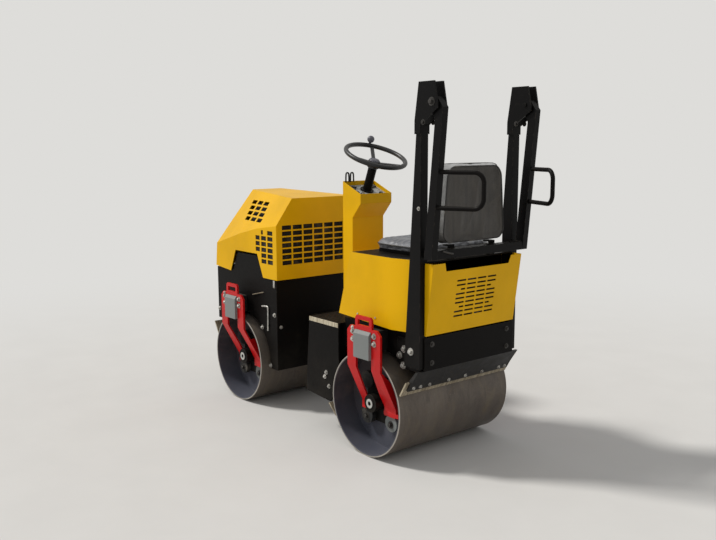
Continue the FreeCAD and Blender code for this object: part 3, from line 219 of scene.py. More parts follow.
def paint(name, colour, rough, dust=0.4, chips=0.5, under=PRIMER, low_dust=0.55, shine=0.5, second=None):
    """Sprayed paint with tone changes, dust on top and low down, and chips on the edges.

    under is the colour that the chips bare, and low_dust the height below which dust gathers.
    second is another colour and the function that says where it covers the first.
    """
    graph = Graph(name)
    tone = graph.noise(2.3, 5)
    fine = graph.noise(70, 6, 0.65)
    cloud = graph.noise(9, 6, 0.6, warp=0.4)
    faded = tuple(channel * 0.86 for channel in colour[:3]) + (1,)
    skin = graph.mix(graph.ramp(tone, 0.35, 0.7), colour, faded)
    if second:
        skin = graph.mix(second[1](graph), skin, second[0])
    settled = graph.ramp(graph.part(graph.facing, 2), 0.2, 1.0)
    low = graph.ramp(graph.part(graph.place, 2), low_dust, 0.1)
    cover = graph.math("MAXIMUM", settled, low)
    cover = graph.math("MULTIPLY", cover, graph.ramp(cloud, 0.28, 0.8))
    cover = graph.math("ADD", cover, graph.ramp(cloud, 0.62, 0.85, 0, 0.35), clamp=True)
    cover = graph.math("MULTIPLY", cover, dust)
    skin = graph.mix(cover, skin, DUST)
    worn = graph.math("MULTIPLY", graph.edges(0.004), graph.ramp(graph.noise(38, 6, 0.7), 0.5, 0.62))
    scratch = graph.noise(9, 3, 0.5, stretch=(3, 3, 60))
    scratch = graph.math("MULTIPLY", graph.ramp(scratch, 0.70, 0.74), 0.5)
    worn = graph.math("MULTIPLY", graph.math("ADD", worn, scratch, clamp=True), chips)
    skin = graph.mix(worn, skin, under)
    gloss = graph.math("ADD", graph.ramp(fine, 0.3, 0.7, rough - 0.05, rough + 0.07),
                       graph.math("MULTIPLY", cover, 0.35))
    gloss = graph.math("ADD", gloss, graph.math("MULTIPLY", worn, 0.2), clamp=True)
    normal = graph.bump(graph.math("SUBTRACT", fine, worn), 0.12, 0.0006)
    return graph.finish(skin, gloss, normal, Specular_IOR_Level=shine)


def drum_material(name, axle_x):
    """Bare rolling steel with faint streaks round the drum, pale rims and a dull painted inside."""
    graph = Graph(name)
    height = graph.part(graph.place, 2)
    across = graph.math("ABSOLUTE", graph.part(graph.place, 1))
    away_x = graph.math("SUBTRACT", graph.part(graph.place, 0), axle_x)
    away_z = graph.math("SUBTRACT", height, DRUM_RADIUS)
    away = graph.math("SQRT", graph.math("ADD", graph.math("MULTIPLY", away_x, away_x),
                                         graph.math("MULTIPLY", away_z, away_z)))
    broad = graph.noise(1.0, 3, 0.5, stretch=(0.7, 7, 0.7))
    thin = graph.noise(1.0, 5, 0.7, stretch=(3, 150, 3))
    blotch = graph.noise(9, 7, 0.65, warp=0.6)
    smear = graph.noise(5, 6, 0.7, stretch=(1, 2.4, 1), warp=0.9)
    grit = graph.noise(260, 4, 0.7)

    rolled = graph.mix(graph.ramp(broad, 0.3, 0.7), srgb(90, 82, 75), srgb(108, 99, 90))
    rolled = graph.layers(rolled, (
        (smear, 0.45, 0.75, 0.6, DRY_MUD),
        (smear, 0.48, 0.3, 0.5, DAMP_STEEL),
        (thin, 0.56, 0.72, 0.35, DEEP_SCORE),
        (thin, 0.4, 0.25, 0.25, BRIGHT_SCORE),
        (blotch, 0.55, 0.8, 0.4, ROLLED_RUST),
        (grit, 0.5, 0.75, 0.5, PALE_GRIT),
    ))
    inside = graph.mix(graph.ramp(blotch, 0.35, 0.75), srgb(52, 48, 54), srgb(80, 70, 70))
    inside = graph.layers(inside, (
        (height, 0.3, 0.05, 0.8, srgb(72, 76, 88)),
        (grit, 0.5, 0.8, 0.3, srgb(110, 104, 100)),
    ))

    wall = graph.ramp(away, DRUM_RADIUS - 0.003, DRUM_RADIUS - 0.0005)
    rim = graph.math("MULTIPLY", graph.ramp(across, DRUM_HALF - 0.003, DRUM_HALF - 0.0006),
                     graph.ramp(away, DRUM_RADIUS - 0.0075, DRUM_RADIUS - 0.0055))
    stub = graph.math("MULTIPLY", graph.ramp(away, STUB_RADIUS + 0.002, STUB_RADIUS + 0.0005),
                      graph.ramp(across, STUB_START - 0.001, STUB_START + 0.0005))
    colour = graph.mix(wall, inside, rolled)
    worn_rim = graph.math("MULTIPLY", rim, graph.ramp(blotch, 0.2, 0.5, 0.7, 1))
    colour = graph.mix(worn_rim, colour, srgb(172, 167, 158))
    colour = graph.mix(stub, colour, srgb(176, 176, 170))
    metal = graph.math("MAXIMUM", graph.math("MULTIPLY", wall, 0.35), graph.math("MULTIPLY", rim, 0.7))
    gloss = graph.math("ADD", graph.ramp(blotch, 0.35, 0.65, 0.46, 0.6), graph.ramp(wall, 0, 1, 0.14, 0))
    rough = graph.math("ADD", graph.math("MULTIPLY", thin, 0.7), graph.math("MULTIPLY", grit, 0.5))
    return graph.finish(colour, gloss, graph.bump(rough, 0.22, 0.0006), Metallic=metal)


def steel(name, dark, bright, rough=0.42, metallic=0.85, rust=0.3, stretch=(4, 40, 4),
          edge=srgb(205, 200, 192)):
    """Bare or plated steel with brushed streaks and stains. edge is the colour of its edges, partly worn
    bare metal and partly a painted highlight.
    """
    graph = Graph(name)
    brushed = graph.noise(3, 5, 0.6, stretch=stretch)
    blotch = graph.noise(16, 6, 0.65, warp=0.5)
    colour = graph.mix(graph.ramp(brushed, 0.35, 0.65), dark, bright)
    colour = graph.layers(colour, [(blotch, 0.55, 0.8, rust, STEEL_RUST)])
    # Lighter edges: partly worn bare metal, partly a painted highlight
    colour = graph.mix(graph.math("MULTIPLY", graph.edges(0.003), 0.5), colour, edge)
    gloss = graph.ramp(blotch, 0.3, 0.75, rough - 0.06, rough + 0.16)
    return graph.finish(colour, gloss, graph.bump(brushed, 0.18, 0.0006), Metallic=metallic)


def scraper_frame(axle_x, tip_angle, lean):
    """A scraper's tip by its drum, the direction up its blade, and the one out of its back."""
    reach = DRUM_RADIUS + SCRAPER_GAP
    tip = Vector((axle_x + reach * math.cos(math.radians(tip_angle)), 0,
                  DRUM_RADIUS + reach * math.sin(math.radians(tip_angle))))
    along = Vector((math.cos(math.radians(lean)), 0, math.sin(math.radians(lean))))
    away = -1 if (lean - tip_angle) % 360 > 180 else 1
    return tip, along, Vector((along.z, 0, -along.x)) * away


def scraper_material(name, tip, along, outward):
    """Pale bare blade with its backing bar and arms in black."""
    graph = Graph(name)
    streaks = graph.noise(3, 6, 0.65, stretch=(5, 30, 5))
    blotch = graph.noise(18, 6, 0.65, warp=0.5)
    blade = graph.mix(graph.ramp(streaks, 0.35, 0.65), srgb(132, 120, 100), srgb(184, 172, 148))
    blade = graph.layers(blade, [(blotch, 0.5, 0.8, 0.6, BLADE_RUST)])
    bar = graph.layers(srgb(16, 15, 14), [(blotch, 0.45, 0.8, 0.35, BAR_DIRT)])
    beyond = graph.ramp(graph.along(tip, outward), 0.0082, 0.0086)
    above = graph.ramp(graph.along(tip, along), BLADE_HEIGHT + 0.0002, BLADE_HEIGHT + 0.0008)
    black = graph.math("MAXIMUM", beyond, above)
    gloss = graph.ramp(blotch, 0.3, 0.75, 0.45, 0.68)
    metal = graph.ramp(black, 0, 1, 0.4, 0)
    colour = graph.mix(black, blade, bar)
    return graph.finish(colour, gloss, graph.bump(streaks, 0.2, 0.0008), Metallic=metal)


def rubber(name, colour, rough=0.75, second=None, dust=0.4):
    """Moulded rubber or plastic with a fine grain and dust in it."""
    graph = Graph(name)
    grain = graph.noise(420, 4, 0.6)
    cloud = graph.noise(14, 5, 0.6)
    skin = colour
    if second:
        skin = graph.mix(second[1](graph), colour, second[0])
    skin = graph.layers(skin, [(cloud, 0.45, 0.85, dust, DUST)])
    gloss = graph.ramp(grain, 0.3, 0.7, rough - 0.08, rough + 0.08)
    return graph.finish(skin, gloss, graph.bump(grain, 0.2, 0.0004))


def vinyl(name, dark, light, rubbed_and_sheen_colour, rubbed_and_sheen_where):
    """Seat cover: dark grained vinyl with gathers, pale where the function says, partly rubbed wear and
    partly a painted sheen of the sky.
    """
    graph = Graph(name)
    grain = graph.add("ShaderNodeTexVoronoi", Vector=graph.place, Scale=520.0).outputs["Distance"]
    gather = graph.noise(1.0, 2, 0.5, stretch=(10, 26, 4), warp=0.3)
    wrinkle = graph.noise(26, 5, 0.6, warp=1.4)
    patch = graph.noise(11, 6, 0.7, warp=0.8)
    # Pale where the function says: partly rubbed wear, partly a painted sheen of the sky
    rubbed_and_sheen = graph.math("MULTIPLY", rubbed_and_sheen_where(graph), graph.ramp(patch, 0.25, 0.55, 0.6, 1))
    rubbed_and_sheen = graph.math("MULTIPLY", rubbed_and_sheen, graph.ramp(wrinkle, 0.32, 0.52, 0.78, 1))
    base = graph.mix(graph.ramp(gather, 0.25, 0.75), dark, light)
    base = graph.layers(base, [(patch, 0.5, 0.75, 0.35, VINYL_DIRT)])
    colour = graph.mix(rubbed_and_sheen, base, rubbed_and_sheen_colour)
    gloss = graph.ramp(patch, 0.3, 0.7, 0.38, 0.56)
    normal = graph.bump(grain, 0.2, 0.0005)
    normal = graph.bump(wrinkle, 0.45, 0.004, normal)
    return graph.finish(colour, gloss, graph.bump(gather, 0.3, 0.003, normal), Sheen_Weight=0.1)


def back_rubbed_and_sheen(graph):
    """The back's top, sides and shoulders, away from its rear panel: rubbed wear with a painted sheen on
    faces turned up and sideways, more of it higher up.
    """
    upper = graph.ramp(graph.part(graph.facing, 2), 0.25, 0.7)
    side = graph.ramp(graph.math("ABSOLUTE", graph.part(graph.facing, 1)), 0.4, 0.7)
    high = graph.ramp(graph.part(graph.place, 2), 1.12, 1.28, 0.25, 1)
    return graph.math("MULTIPLY", graph.math("MAXIMUM", upper, side), high)


def cushion_rubbed_and_sheen(graph):
    """The cushion's top and its sides: rubbed wear with a painted sheen on faces turned up and sideways."""
    upper = graph.ramp(graph.part(graph.facing, 2), -0.1, 0.5)
    side = graph.ramp(graph.math("ABSOLUTE", graph.part(graph.facing, 1)), 0.4, 0.8, 0, 0.7)
    return graph.math("MAXIMUM", upper, side)


def inner_face_painted_shade(graph):
    """A side cover's face towards the machine's middle, painted black as shade."""
    turned = graph.math("MULTIPLY", graph.part(graph.facing, 1), graph.part(graph.place, 1))
    return graph.ramp(turned, -0.02, -0.05)


def inboard(graph):
    """The arm of a hanger's block, on the machine's side of the red plate."""
    return graph.ramp(graph.math("ABSOLUTE", graph.part(graph.place, 1)), 0.3855, 0.3845)


def low_rear_disc(axle_x):
    """A function for the lower rear one of a hanger's four discs, which keeps its grey; the other three are
    painted black as shade.
    """
    def covered(graph):
        behind = graph.ramp(graph.part(graph.place, 0), axle_x - 0.02, axle_x - 0.03)
        return graph.math("MULTIPLY", behind, graph.ramp(graph.part(graph.place, 2), DRUM_RADIUS, 0.25))
    return covered


# The steering wheel, with the dash set square to its column, and the knob on its rim
WHEEL_HUB = at(0.379, 0, 1.457)
WHEEL_TILT = math.radians(22)
WHEEL_AXIS = Vector((-math.sin(WHEEL_TILT), 0, math.cos(WHEEL_TILT)))
WHEEL_FLAT = Vector((math.cos(WHEEL_TILT), 0, math.sin(WHEEL_TILT)))
KNOB_TURN = math.radians(-25)
KNOB_OUT = 0.165
KNOB_HIGH = 0.0765
KNOB_RADIUS = 0.021
KNOB = WHEEL_HUB + WHEEL_AXIS * KNOB_HIGH + KNOB_OUT * (WHEEL_FLAT * math.cos(KNOB_TURN)
                                                       + LEFT * math.sin(KNOB_TURN))


def on_knob(graph):
    """The knob on the steering wheel."""
    return graph.ramp(graph.far(KNOB), KNOB_RADIUS + 0.0005, KNOB_RADIUS)


# Finishes of the record's material slots

KNOB_GREY = srgb(84, 84, 92)
YELLOW_LOOK = {"colour": srgb(230, 176, 2), "rough": 0.40, "dust": 0.012, "chips": 0.3,
               "under": srgb(126, 92, 34), "low_dust": 0.3, "shine": 0.12}
GREY_LOOK = {"colour": PAINT_GREY, "rough": 0.5, "dust": 0.2, "chips": 0.4}
YELLOW = paint("yellow_paint_worn", **YELLOW_LOOK)
# Side covers: yellow paint, with the inner faces painted black as shade
YELLOW_COVER_SHADED_INSIDE = paint("yellow_cover_painted_shade_inside", second=(PAINT_BLACK, inner_face_painted_shade), **YELLOW_LOOK)
BLACK = paint("black_paint_dusty", PAINT_BLACK, 0.45, dust=0.06, chips=0.45, under=srgb(96, 88, 80),
              shine=0.07)
BLACK_BAR = paint("black_bar_paint", srgb(16, 15, 15), 0.36, dust=0.035, chips=0.5,
                  under=srgb(104, 94, 82), low_dust=1.2, shine=0.09)
RED = paint("red_paint_worn", srgb(196, 8, 12), 0.36, dust=0.03, chips=0.6, under=srgb(92, 50, 44),
            low_dust=0.2, shine=0.3)
GREY = paint("grey_cast_paint", **GREY_LOOK)
GREY_BLOCK = paint("grey_block_black_arm", second=(PAINT_BLACK, inboard), **GREY_LOOK)
DASH = paint("dash_grey_paint", srgb(168, 170, 168), 0.45, dust=0.25, chips=0.5, under=srgb(60, 60, 60))
ENGINE = paint("engine_paint", srgb(30, 30, 30), 0.6, dust=0.4, chips=0.3)
GREY_RUBBER = rubber("grey_rubber", srgb(118, 120, 118), 0.8)
PLASTIC = rubber("black_plastic", srgb(20, 20, 21), 0.38, dust=0.1)
GREY_PLASTIC = rubber("grey_plastic", KNOB_GREY, 0.5)
# Near-black sheets that paint the shade seen through vents and slots
SHADE_SHEET = rubber("painted_shade_sheet", srgb(9, 8, 8), 0.95)
PIPING = rubber("seat_piping", srgb(30, 28, 26), 0.5)
BLADE = steel("bare_blade_steel", srgb(96, 84, 70), srgb(150, 138, 118), 0.5, 0.6, 0.6)
ZINC = steel("zinc_bolts", srgb(150, 148, 142), srgb(205, 203, 198), 0.34, 0.75, 0.25, (8, 8, 8))
DARK_BOLT = steel("black_bolts", srgb(34, 32, 30), srgb(60, 57, 54), 0.45, 0.3, 0.3, (8, 8, 8),
                  srgb(96, 92, 86))
CHROME = steel("chrome_rod_steel", srgb(190, 190, 192), srgb(225, 225, 228), 0.12, 1.0, 0.05)
WORN_EDGE = steel("worn_tread_edge", srgb(164, 152, 128), srgb(206, 196, 172), 0.55, 0.25, 0.4,
                  (30, 4, 4))
# Seat vinyl: the pale colours are partly rubbed wear and partly a painted sheen of the sky
BACK_VINYL = vinyl("seat_back_vinyl", srgb(38, 34, 29), srgb(58, 53, 46), srgb(168, 168, 166),
                   back_rubbed_and_sheen)
CUSHION_VINYL = vinyl("seat_cushion_vinyl", srgb(44, 41, 38), srgb(60, 56, 51), srgb(98, 100, 105),
                      cushion_rubbed_and_sheen)

SLOT_LOOKS = {
    "black_paint": BLACK, "yellow_paint": YELLOW, "red_paint": RED, "grey_paint": GREY,
    "grey_rubber": GREY_RUBBER, "worn_steel": BLADE, "seat_vinyl": BACK_VINYL, "dash_grey": DASH,
    "black_plastic": PLASTIC, "engine_grey": ENGINE, "chrome_rod": CHROME,
}

# Each scraper's axle, the angle of its tip about that axle and the blade's lean, in degrees
SCRAPERS = {
    "rear_outer": (REAR_AXLE, 157, 121),
    "rear_inner": (REAR_AXLE, -26, 41),
    "front_inner": (FRONT_AXLE, 182, 139),
    "front_outer": (FRONT_AXLE, 23, 59),
}

# Nodes with a finish of their own
NODE_LOOKS = {
    "drum_rear": drum_material("rear_drum_steel", REAR_AXLE),
    "drum_front": drum_material("front_drum_steel", FRONT_AXLE),
    "side_cover_left": YELLOW_COVER_SHADED_INSIDE, "side_cover_right": YELLOW_COVER_SHADED_INSIDE,
    "post_left": BLACK_BAR, "post_right": BLACK_BAR, "roll_hoop": BLACK_BAR,
    "steering_wheel": rubber("wheel_rubber", srgb(17, 17, 18), 0.42, (KNOB_GREY, on_knob), 0.08),
}
for place, figures in SCRAPERS.items():
    NODE_LOOKS["scraper_" + place] = scraper_material(place + "_blade", *scraper_frame(*figures))
# Buffer discs: grey rubber, with all but the lower rear disc painted black as shade
for end, axle_x in (("rear", REAR_AXLE), ("front", FRONT_AXLE)):
    disc_painted_shade = rubber("buffer_rubber_painted_shade_" + end, srgb(26, 26, 26), 0.75,
                  (srgb(116, 120, 118), low_rear_disc(axle_x)))
    for name, side in SIDES:
        NODE_LOOKS["block_%s_%s" % (end, name)] = GREY_BLOCK
        NODE_LOOKS["buffers_%s_%s" % (end, name)] = disc_painted_shade


# Mesh helpers

WELD_GAP = 0.00002


def smooth_by_angle():
    """A modifier group that shades smooth, apart from edges that turn sharply."""
    group = bpy.data.node_groups.new("smooth_by_angle", "GeometryNodeTree")
    for side in ("INPUT", "OUTPUT"):
        group.interface.new_socket("Geometry", in_out=side, socket_type="NodeSocketGeometry")
    entry, leave = group.nodes.new("NodeGroupInput"), group.nodes.new("NodeGroupOutput")
    faces = group.nodes.new("GeometryNodeSetShadeSmooth")
    sharp = group.nodes.new("GeometryNodeSetShadeSmooth")
    sharp.domain = "EDGE"
    sharp.inputs["Shade Smooth"].default_value = False
    angle = group.nodes.new("GeometryNodeInputMeshEdgeAngle")
    steep = group.nodes.new("ShaderNodeMath")
    steep.operation = "GREATER_THAN"
    steep.inputs[1].default_value = math.radians(50)
    links = group.links
    links.new(entry.outputs[0], faces.inputs["Geometry"])
    links.new(faces.outputs[0], sharp.inputs["Geometry"])
    links.new(angle.outputs["Unsigned Angle"], steep.inputs[0])
    links.new(steep.outputs[0], sharp.inputs["Selection"])
    links.new(sharp.outputs[0], leave.inputs[0])
    return group


SMOOTH = smooth_by_angle()


def soften(piece, width, weld=True):
    """Small rounded edges and clean shading on a hard piece."""
    if weld:
        piece.modifiers.new("Merge", "WELD").merge_threshold = WELD_GAP
        flat = piece.modifiers.new("Flat", "DECIMATE")
        flat.decimate_type = "DISSOLVE"
        flat.angle_limit = math.radians(0.4)
    edge = piece.modifiers.new("Edges", "BEVEL")
    edge.width = width
    edge.segments = 2
    edge.limit_method = "ANGLE"
    edge.angle_limit = math.radians(32)
    piece.modifiers.new("Shade", "NODES").node_group = SMOOTH
    piece.modifiers.new("Weight", "WEIGHTED_NORMAL").keep_sharp = True


def piece_from(name, data, body, look):
    """An object of the mesh or curve, with its look, that rides on a body."""
    made = bpy.data.objects.new(name, data)
    bpy.context.scene.collection.objects.link(made)
    made.data.materials.append(look)
    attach(made, body)
    return made


def from_bmesh(name, shape, body, look, smooth=False):
    """A piece of the shape that was built up."""
    mesh = bpy.data.meshes.new(name)
    bmesh.ops.recalc_face_normals(shape, faces=shape.faces)
    shape.to_mesh(mesh)
    shape.free()
    if smooth:
        mesh.shade_smooth()
    return piece_from(name, mesh, body, look)


def facing(place, axis):
    """A frame at the place with its Z along the axis."""
    turned = Vector(axis).to_track_quat("Z", "Y").to_matrix().to_4x4()
    return Matrix.Translation(Vector(place)) @ turned


def cone(shape, seat, low, high, radius, top_radius, sides):
    """A stub between two heights along the seat's Z."""
    spot = seat @ Matrix.Translation((0, 0, (low + high) / 2))
    bmesh.ops.create_cone(shape, cap_ends=True, segments=sides, radius1=radius, radius2=top_radius,
                          depth=high - low, matrix=spot)


def block(shape, centre, size, axes=None):
    """A box about its centre, along the world's axes or a turned frame."""
    turned = axes or Matrix.Identity(4)
    bmesh.ops.create_cube(shape, size=1,
                          matrix=Matrix.Translation(centre) @ turned @ Matrix.Diagonal((*size, 1)))


def quad(shape, corners):
    """One flat face between the corners."""
    shape.faces.new([shape.verts.new(corner) for corner in corners])


def bolt(shape, place, axis, across):
    """Hexagon head with a chamfered top on its washer. across is its size across the flats."""
    seat = facing(place, axis)
    base, tall, corner = across * 0.12, across * 0.62, across / math.sqrt(3)
    shoulder = base + tall * 0.82
    cone(shape, seat, 0, base, across * 0.98, across * 0.95, 20)
    cone(shape, seat, base, shoulder, corner, corner, 6)
    cone(shape, seat, shoulder, base + tall, corner, corner * 0.82, 6)


def bolts(name, body, rows, look=ZINC):
    """One mesh of bolts: rows of place, axis, size across the flats."""
    shape = bmesh.new()
    for place, axis, across in rows:
        bolt(shape, place, axis, across)
    return from_bmesh(name, shape, body, look)


def both_sides(rows):
    """The bolts at x, y, z given for the left side, and their like on the right.

    A head that faces sideways is turned round on the right. One that faces ahead or back isn't.
    """
    return [(at(x, y * side, z), way * side if way.y else way, across)
            for name, side in SIDES for x, y, z, way, across in rows]


def rod(name, body, points, radius, look, closed=False):
    """A round bar through the points, with smooth bends."""
    line = bpy.data.curves.new(name, "CURVE")
    line.dimensions = "3D"
    line.bevel_depth = radius
    line.bevel_resolution = 4
    line.resolution_u = 6
    line.use_fill_caps = True
    spline = line.splines.new("NURBS")
    spline.points.add(len(points) - 1)
    for spot, point in zip(spline.points, points):
        spot.co = (*point, 1)
    spline.order_u = 3
    spline.use_endpoint_u = not closed
    spline.use_cyclic_u = closed
    return piece_from(name, line, body, look)


def pad_shape(outline, place, levels=(0, 1)):
    """A slab between copies of the outline. place turns an outline point and a level into a spot."""
    shape = bmesh.new()
    rings = [[shape.verts.new(place(x, y, level)) for x, y in outline] for level in levels]
    count = len(outline)
    for lower, upper in zip(rings, rings[1:]):
        for index in range(count):
            after = (index + 1) % count
            shape.faces.new((lower[index], lower[after], upper[after], upper[index]))
    shape.faces.new(rings[0])
    shape.faces.new(list(reversed(rings[-1])))
    bmesh.ops.recalc_face_normals(shape, faces=shape.faces)
    return shape


# CAD nodes: every one keeps its shape and gets its finish

PLATE_EDGE = 0.0012

for part in frame["record"]["subparts"]:
    node = nodes[part["node"]]
    look = NODE_LOOKS.get(part["node"]) or SLOT_LOOKS.get(part["material_slot"], BLACK)
    for index in range(len(node.material_slots)):
        node.material_slots[index].material = look
    soften(node, PLATE_EDGE)


# Seat: padded cushion and back, blown up between their seams

SEAT_HALF = 0.226
PANEL_SEAM = 0.115
VOXEL = 0.0055
PINNED = 0.005
SEAM_FADE = 0.018
CLOTH_STEPS = 20
CLOTH_PRESSURE = 4


def rounded_outline(half, low, high, radius, steps=6):
    """Corner points of a rectangle with rounded corners, in its own plane."""
    points = []
    for x, y, start in ((half - radius, high - radius, 0), (-half + radius, high - radius, 90),
                        (-half + radius, low + radius, 180), (half - radius, low + radius, 270)):
        for step in range(steps + 1):
            turn = math.radians(start + 90 * step / steps)
            points.append((x + radius * math.cos(turn), y + radius * math.sin(turn)))
    return points


def closed(outline, place, level):
    """The outline's spots at a level, back to the first."""
    line = [place(x, y, level) for x, y in outline]
    return line + line[:1]


def seam_tree(*lines):
    """A search tree of spots a few millimetres apart along closed or open seams."""
    spots = []
    for line in lines:
        for first, last in zip(line, line[1:]):
            count = max(1, round((last - first).length / 0.003))
            spots += [first.lerp(last, step / count) for step in range(count)]
    tree = KDTree(len(spots))
    for index, spot in enumerate(spots):
        tree.insert(spot, index)
    tree.balance()
    return tree


def inflate(pad, pinned, cap):
    """Blows the pad up as cloth under pressure. No spot moves further than the cap."""
    start = [vertex.co.copy() for vertex in pad.data.vertices]
    pins = pad.vertex_groups.new(name="seams")
    pins.add(pinned, 1.0, "REPLACE")
    cloth = pad.modifiers.new("Cloth", "CLOTH")
    cloth.settings.vertex_group_mass = "seams"
    cloth.settings.use_pressure = True
    cloth.settings.uniform_pressure_force = CLOTH_PRESSURE
    cloth.settings.effector_weights.gravity = 0
    cloth.settings.quality = 5
    cloth.collision_settings.use_self_collision = False
    scene = bpy.context.scene
    for step in range(1, CLOTH_STEPS + 1):
        scene.frame_set(step)
    settled = pad.evaluated_get(bpy.context.evaluated_depsgraph_get()).to_mesh()
    moved = [vertex.co.copy() for vertex in settled.vertices]
    pad.modifiers.remove(cloth)
    scene.frame_set(1)
    for vertex, first, last in zip(pad.data.vertices, start, moved):
        shift = last - first
        if shift.length > cap:
            shift *= cap / shift.length
        vertex.co = first + shift


def blown(name, shape, look, node, seams, held, cap, fold):
    """The slab as a stuffed piece of the seat, blown up between its seams.

    held says which spots rest on something. cap is how far the cover may swell, and fold gives the
    height of its creases at a spot.
    """
    pad = from_bmesh(name, shape, "rear_unit", look, smooth=True)
    remesh = pad.modifiers.new("Remesh", "REMESH")
    remesh.mode = "VOXEL"
    remesh.voxel_size = VOXEL
    remesh.use_smooth_shade = True
    with bpy.context.temp_override(object=pad, active_object=pad, selected_objects=[pad]):
        bpy.ops.object.modifier_apply(modifier=remesh.name)
    spots = [vertex.co.copy() for vertex in pad.data.vertices]
    gaps = [0.0 if held(spot) else seams.find(spot)[2] for spot in spots]
    inflate(pad, [index for index, gap in enumerate(gaps) if gap < PINNED], cap)
    low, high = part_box(node)
    for vertex, gap in zip(pad.data.vertices, gaps):
        spot = vertex.co
        spot += vertex.normal * fold(spot, vertex.normal) * min(gap / SEAM_FADE, 1)
        for axis in range(3):
            spot[axis] = min(max(spot[axis], low[axis]), high[axis])
    finer = pad.modifiers.new("Finer", "SUBSURF")
    finer.levels = finer.render_levels = 1
    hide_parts(node)
    return pad


def wave(x, y, z):
    """Smooth noise about 0."""
    return noise.noise(Vector((x, y, z)))


back_low, back_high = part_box("seat_back")
back_tall = back_high.z - back_low.z
BACK_REAR, BACK_FRONT = back_low.x + 0.017, back_high.x - 0.016
BACK_OUTLINE = rounded_outline(SEAT_HALF, back_low.z + 0.006, back_high.z - 0.009, 0.055)
BACK_SWELL = 0.016
# The rear panel's size as shares of the front's, and how much narrower each gets to its top
PANEL_WIDTH, PANEL_HEIGHT, PANEL_TAPER = 0.92, 0.955, 0.14
SHOULDER, SHOULDER_TAPER = 0.55, 0.05


def back_place(across, up, level):
    """The rear panel, at level 0, is narrower and lower than the front, most of all at its top."""
    share = (up - back_low.z) / back_tall
    if level == 0:
        across *= PANEL_WIDTH - PANEL_TAPER * share ** 2
        up = back_low.z + (up - back_low.z) * PANEL_HEIGHT + 0.004
    else:
        across *= 1 - SHOULDER_TAPER * max(share - SHOULDER, 0) / (1 - SHOULDER)
    return Vector((BACK_REAR if level == 0 else BACK_FRONT, across, up))


def back_fold(spot, normal):
    """Long upright gathers on the rear panel, and short creases across the sides and the top."""
    panel = max(-normal.x, 0)
    gather = abs(wave(spot.x * 8, spot.y * 13 + spot.z * 2, spot.z * 3)) * 0.0150
    cross = abs(wave(spot.x * 12, spot.y * 26, spot.z * 30)) * 0.0110
    dent = wave(spot.x * 5, spot.y * 9, spot.z * 8) * 0.0060
    return -gather * panel - cross * (1 - panel) + dent


back_panels = [[Vector((BACK_FRONT, y, z)) for z in (1.15, 1.42)] for y in (-PANEL_SEAM, PANEL_SEAM)]
back_seams = seam_tree(closed(BACK_OUTLINE, back_place, 0), closed(BACK_OUTLINE, back_place, 1),
                       *back_panels)
seat_back = blown("seat_back_pad", pad_shape(BACK_OUTLINE, back_place), BACK_VINYL, "seat_back",
                  back_seams, lambda spot: False, BACK_SWELL, back_fold)

cushion_low, cushion_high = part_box("seat_cushion")
CUSHION_REST = cushion_low.z + 0.001
CUSHION_RIM = cushion_low.z + 0.42 * (cushion_high.z - cushion_low.z)
CUSHION_TOP = cushion_high.z - 0.014
CUSHION_OUTLINE = rounded_outline(SEAT_HALF, cushion_low.x + 0.009, cushion_high.x - 0.007, 0.07)
CUSHION_SWELL = 0.019


def cushion_place(across, along, level):
    """The underside, at level 0, and the crown, at level 2, are drawn in from the seam at level 1."""
    middle = (cushion_low.x + cushion_high.x) / 2
    drawn, up = ((0.97, CUSHION_REST), (1, CUSHION_RIM), (0.94, CUSHION_TOP))[level]
    return Vector((middle + (along - middle) * drawn, across * drawn, up))


def cushion_fold(spot, normal):
    """Broad hollows where it is sat on, and short creases along the rim."""
    hollow = wave(spot.x * 7, spot.y * 7, spot.z * 7) * 0.0060
    crease = abs(wave(spot.x * 26, spot.y * 20, spot.z * 16)) * 0.0090
    return hollow - crease


cushion_panels = [[Vector((x, y, CUSHION_TOP)) for x in (cushion_low.x + 0.08, cushion_high.x - 0.08)]
                  for y in (-PANEL_SEAM, PANEL_SEAM)]
cushion_seams = seam_tree(closed(CUSHION_OUTLINE, cushion_place, 1), *cushion_panels)
cushion = blown("seat_cushion_pad", pad_shape(CUSHION_OUTLINE, cushion_place, (0, 1, 2)),
                CUSHION_VINYL, "seat_cushion", cushion_seams,
                lambda spot: spot.z < CUSHION_REST + 0.004, CUSHION_SWELL, cushion_fold)


def piping(name, pad, outline, place, level):
    """A sewn edge that follows the pad's seam."""
    surface = BVHTree.FromPolygons([vertex.co for vertex in pad.data.vertices],
                                   [tuple(face.vertices) for face in pad.data.polygons])
    line = []
    for x, y in outline:
        near, normal = surface.find_nearest(place(x, y, level))[:2]
        line.append(near + normal * 0.0006)
    return rod(name, "rear_unit", line, 0.0030, PIPING, closed=True)


piping("seat_back_rear_piping", seat_back, BACK_OUTLINE, back_place, 0)
piping("seat_back_front_piping", seat_back, BACK_OUTLINE, back_place, 1)
piping("seat_cushion_piping", cushion, CUSHION_OUTLINE, cushion_place, 1)


# Bolts, where the photograph shows them and their like on the hidden sides. Each row is x, y and z on
# the left side, the way that the head faces, and its size across the flats

POST_FACE = 0.335
HANGER_FACE = 0.398
BEARING_FACE = 0.288
FRAME_FACE = 0.327
HINGE_FACE = 0.343

bolts("post_base_bolts", "rear_unit", both_sides((
    (-0.205, 0.300, 0.579, LEFT, 0.019),
    (-0.290, POST_FACE, 0.588, LEFT, 0.019),
    (-0.172, 0.300, 0.543, LEFT, 0.019),
    (-0.199, 0.300, 0.497, LEFT, 0.019),
    (-0.337, POST_FACE, 1.265, LEFT, 0.010),
)))

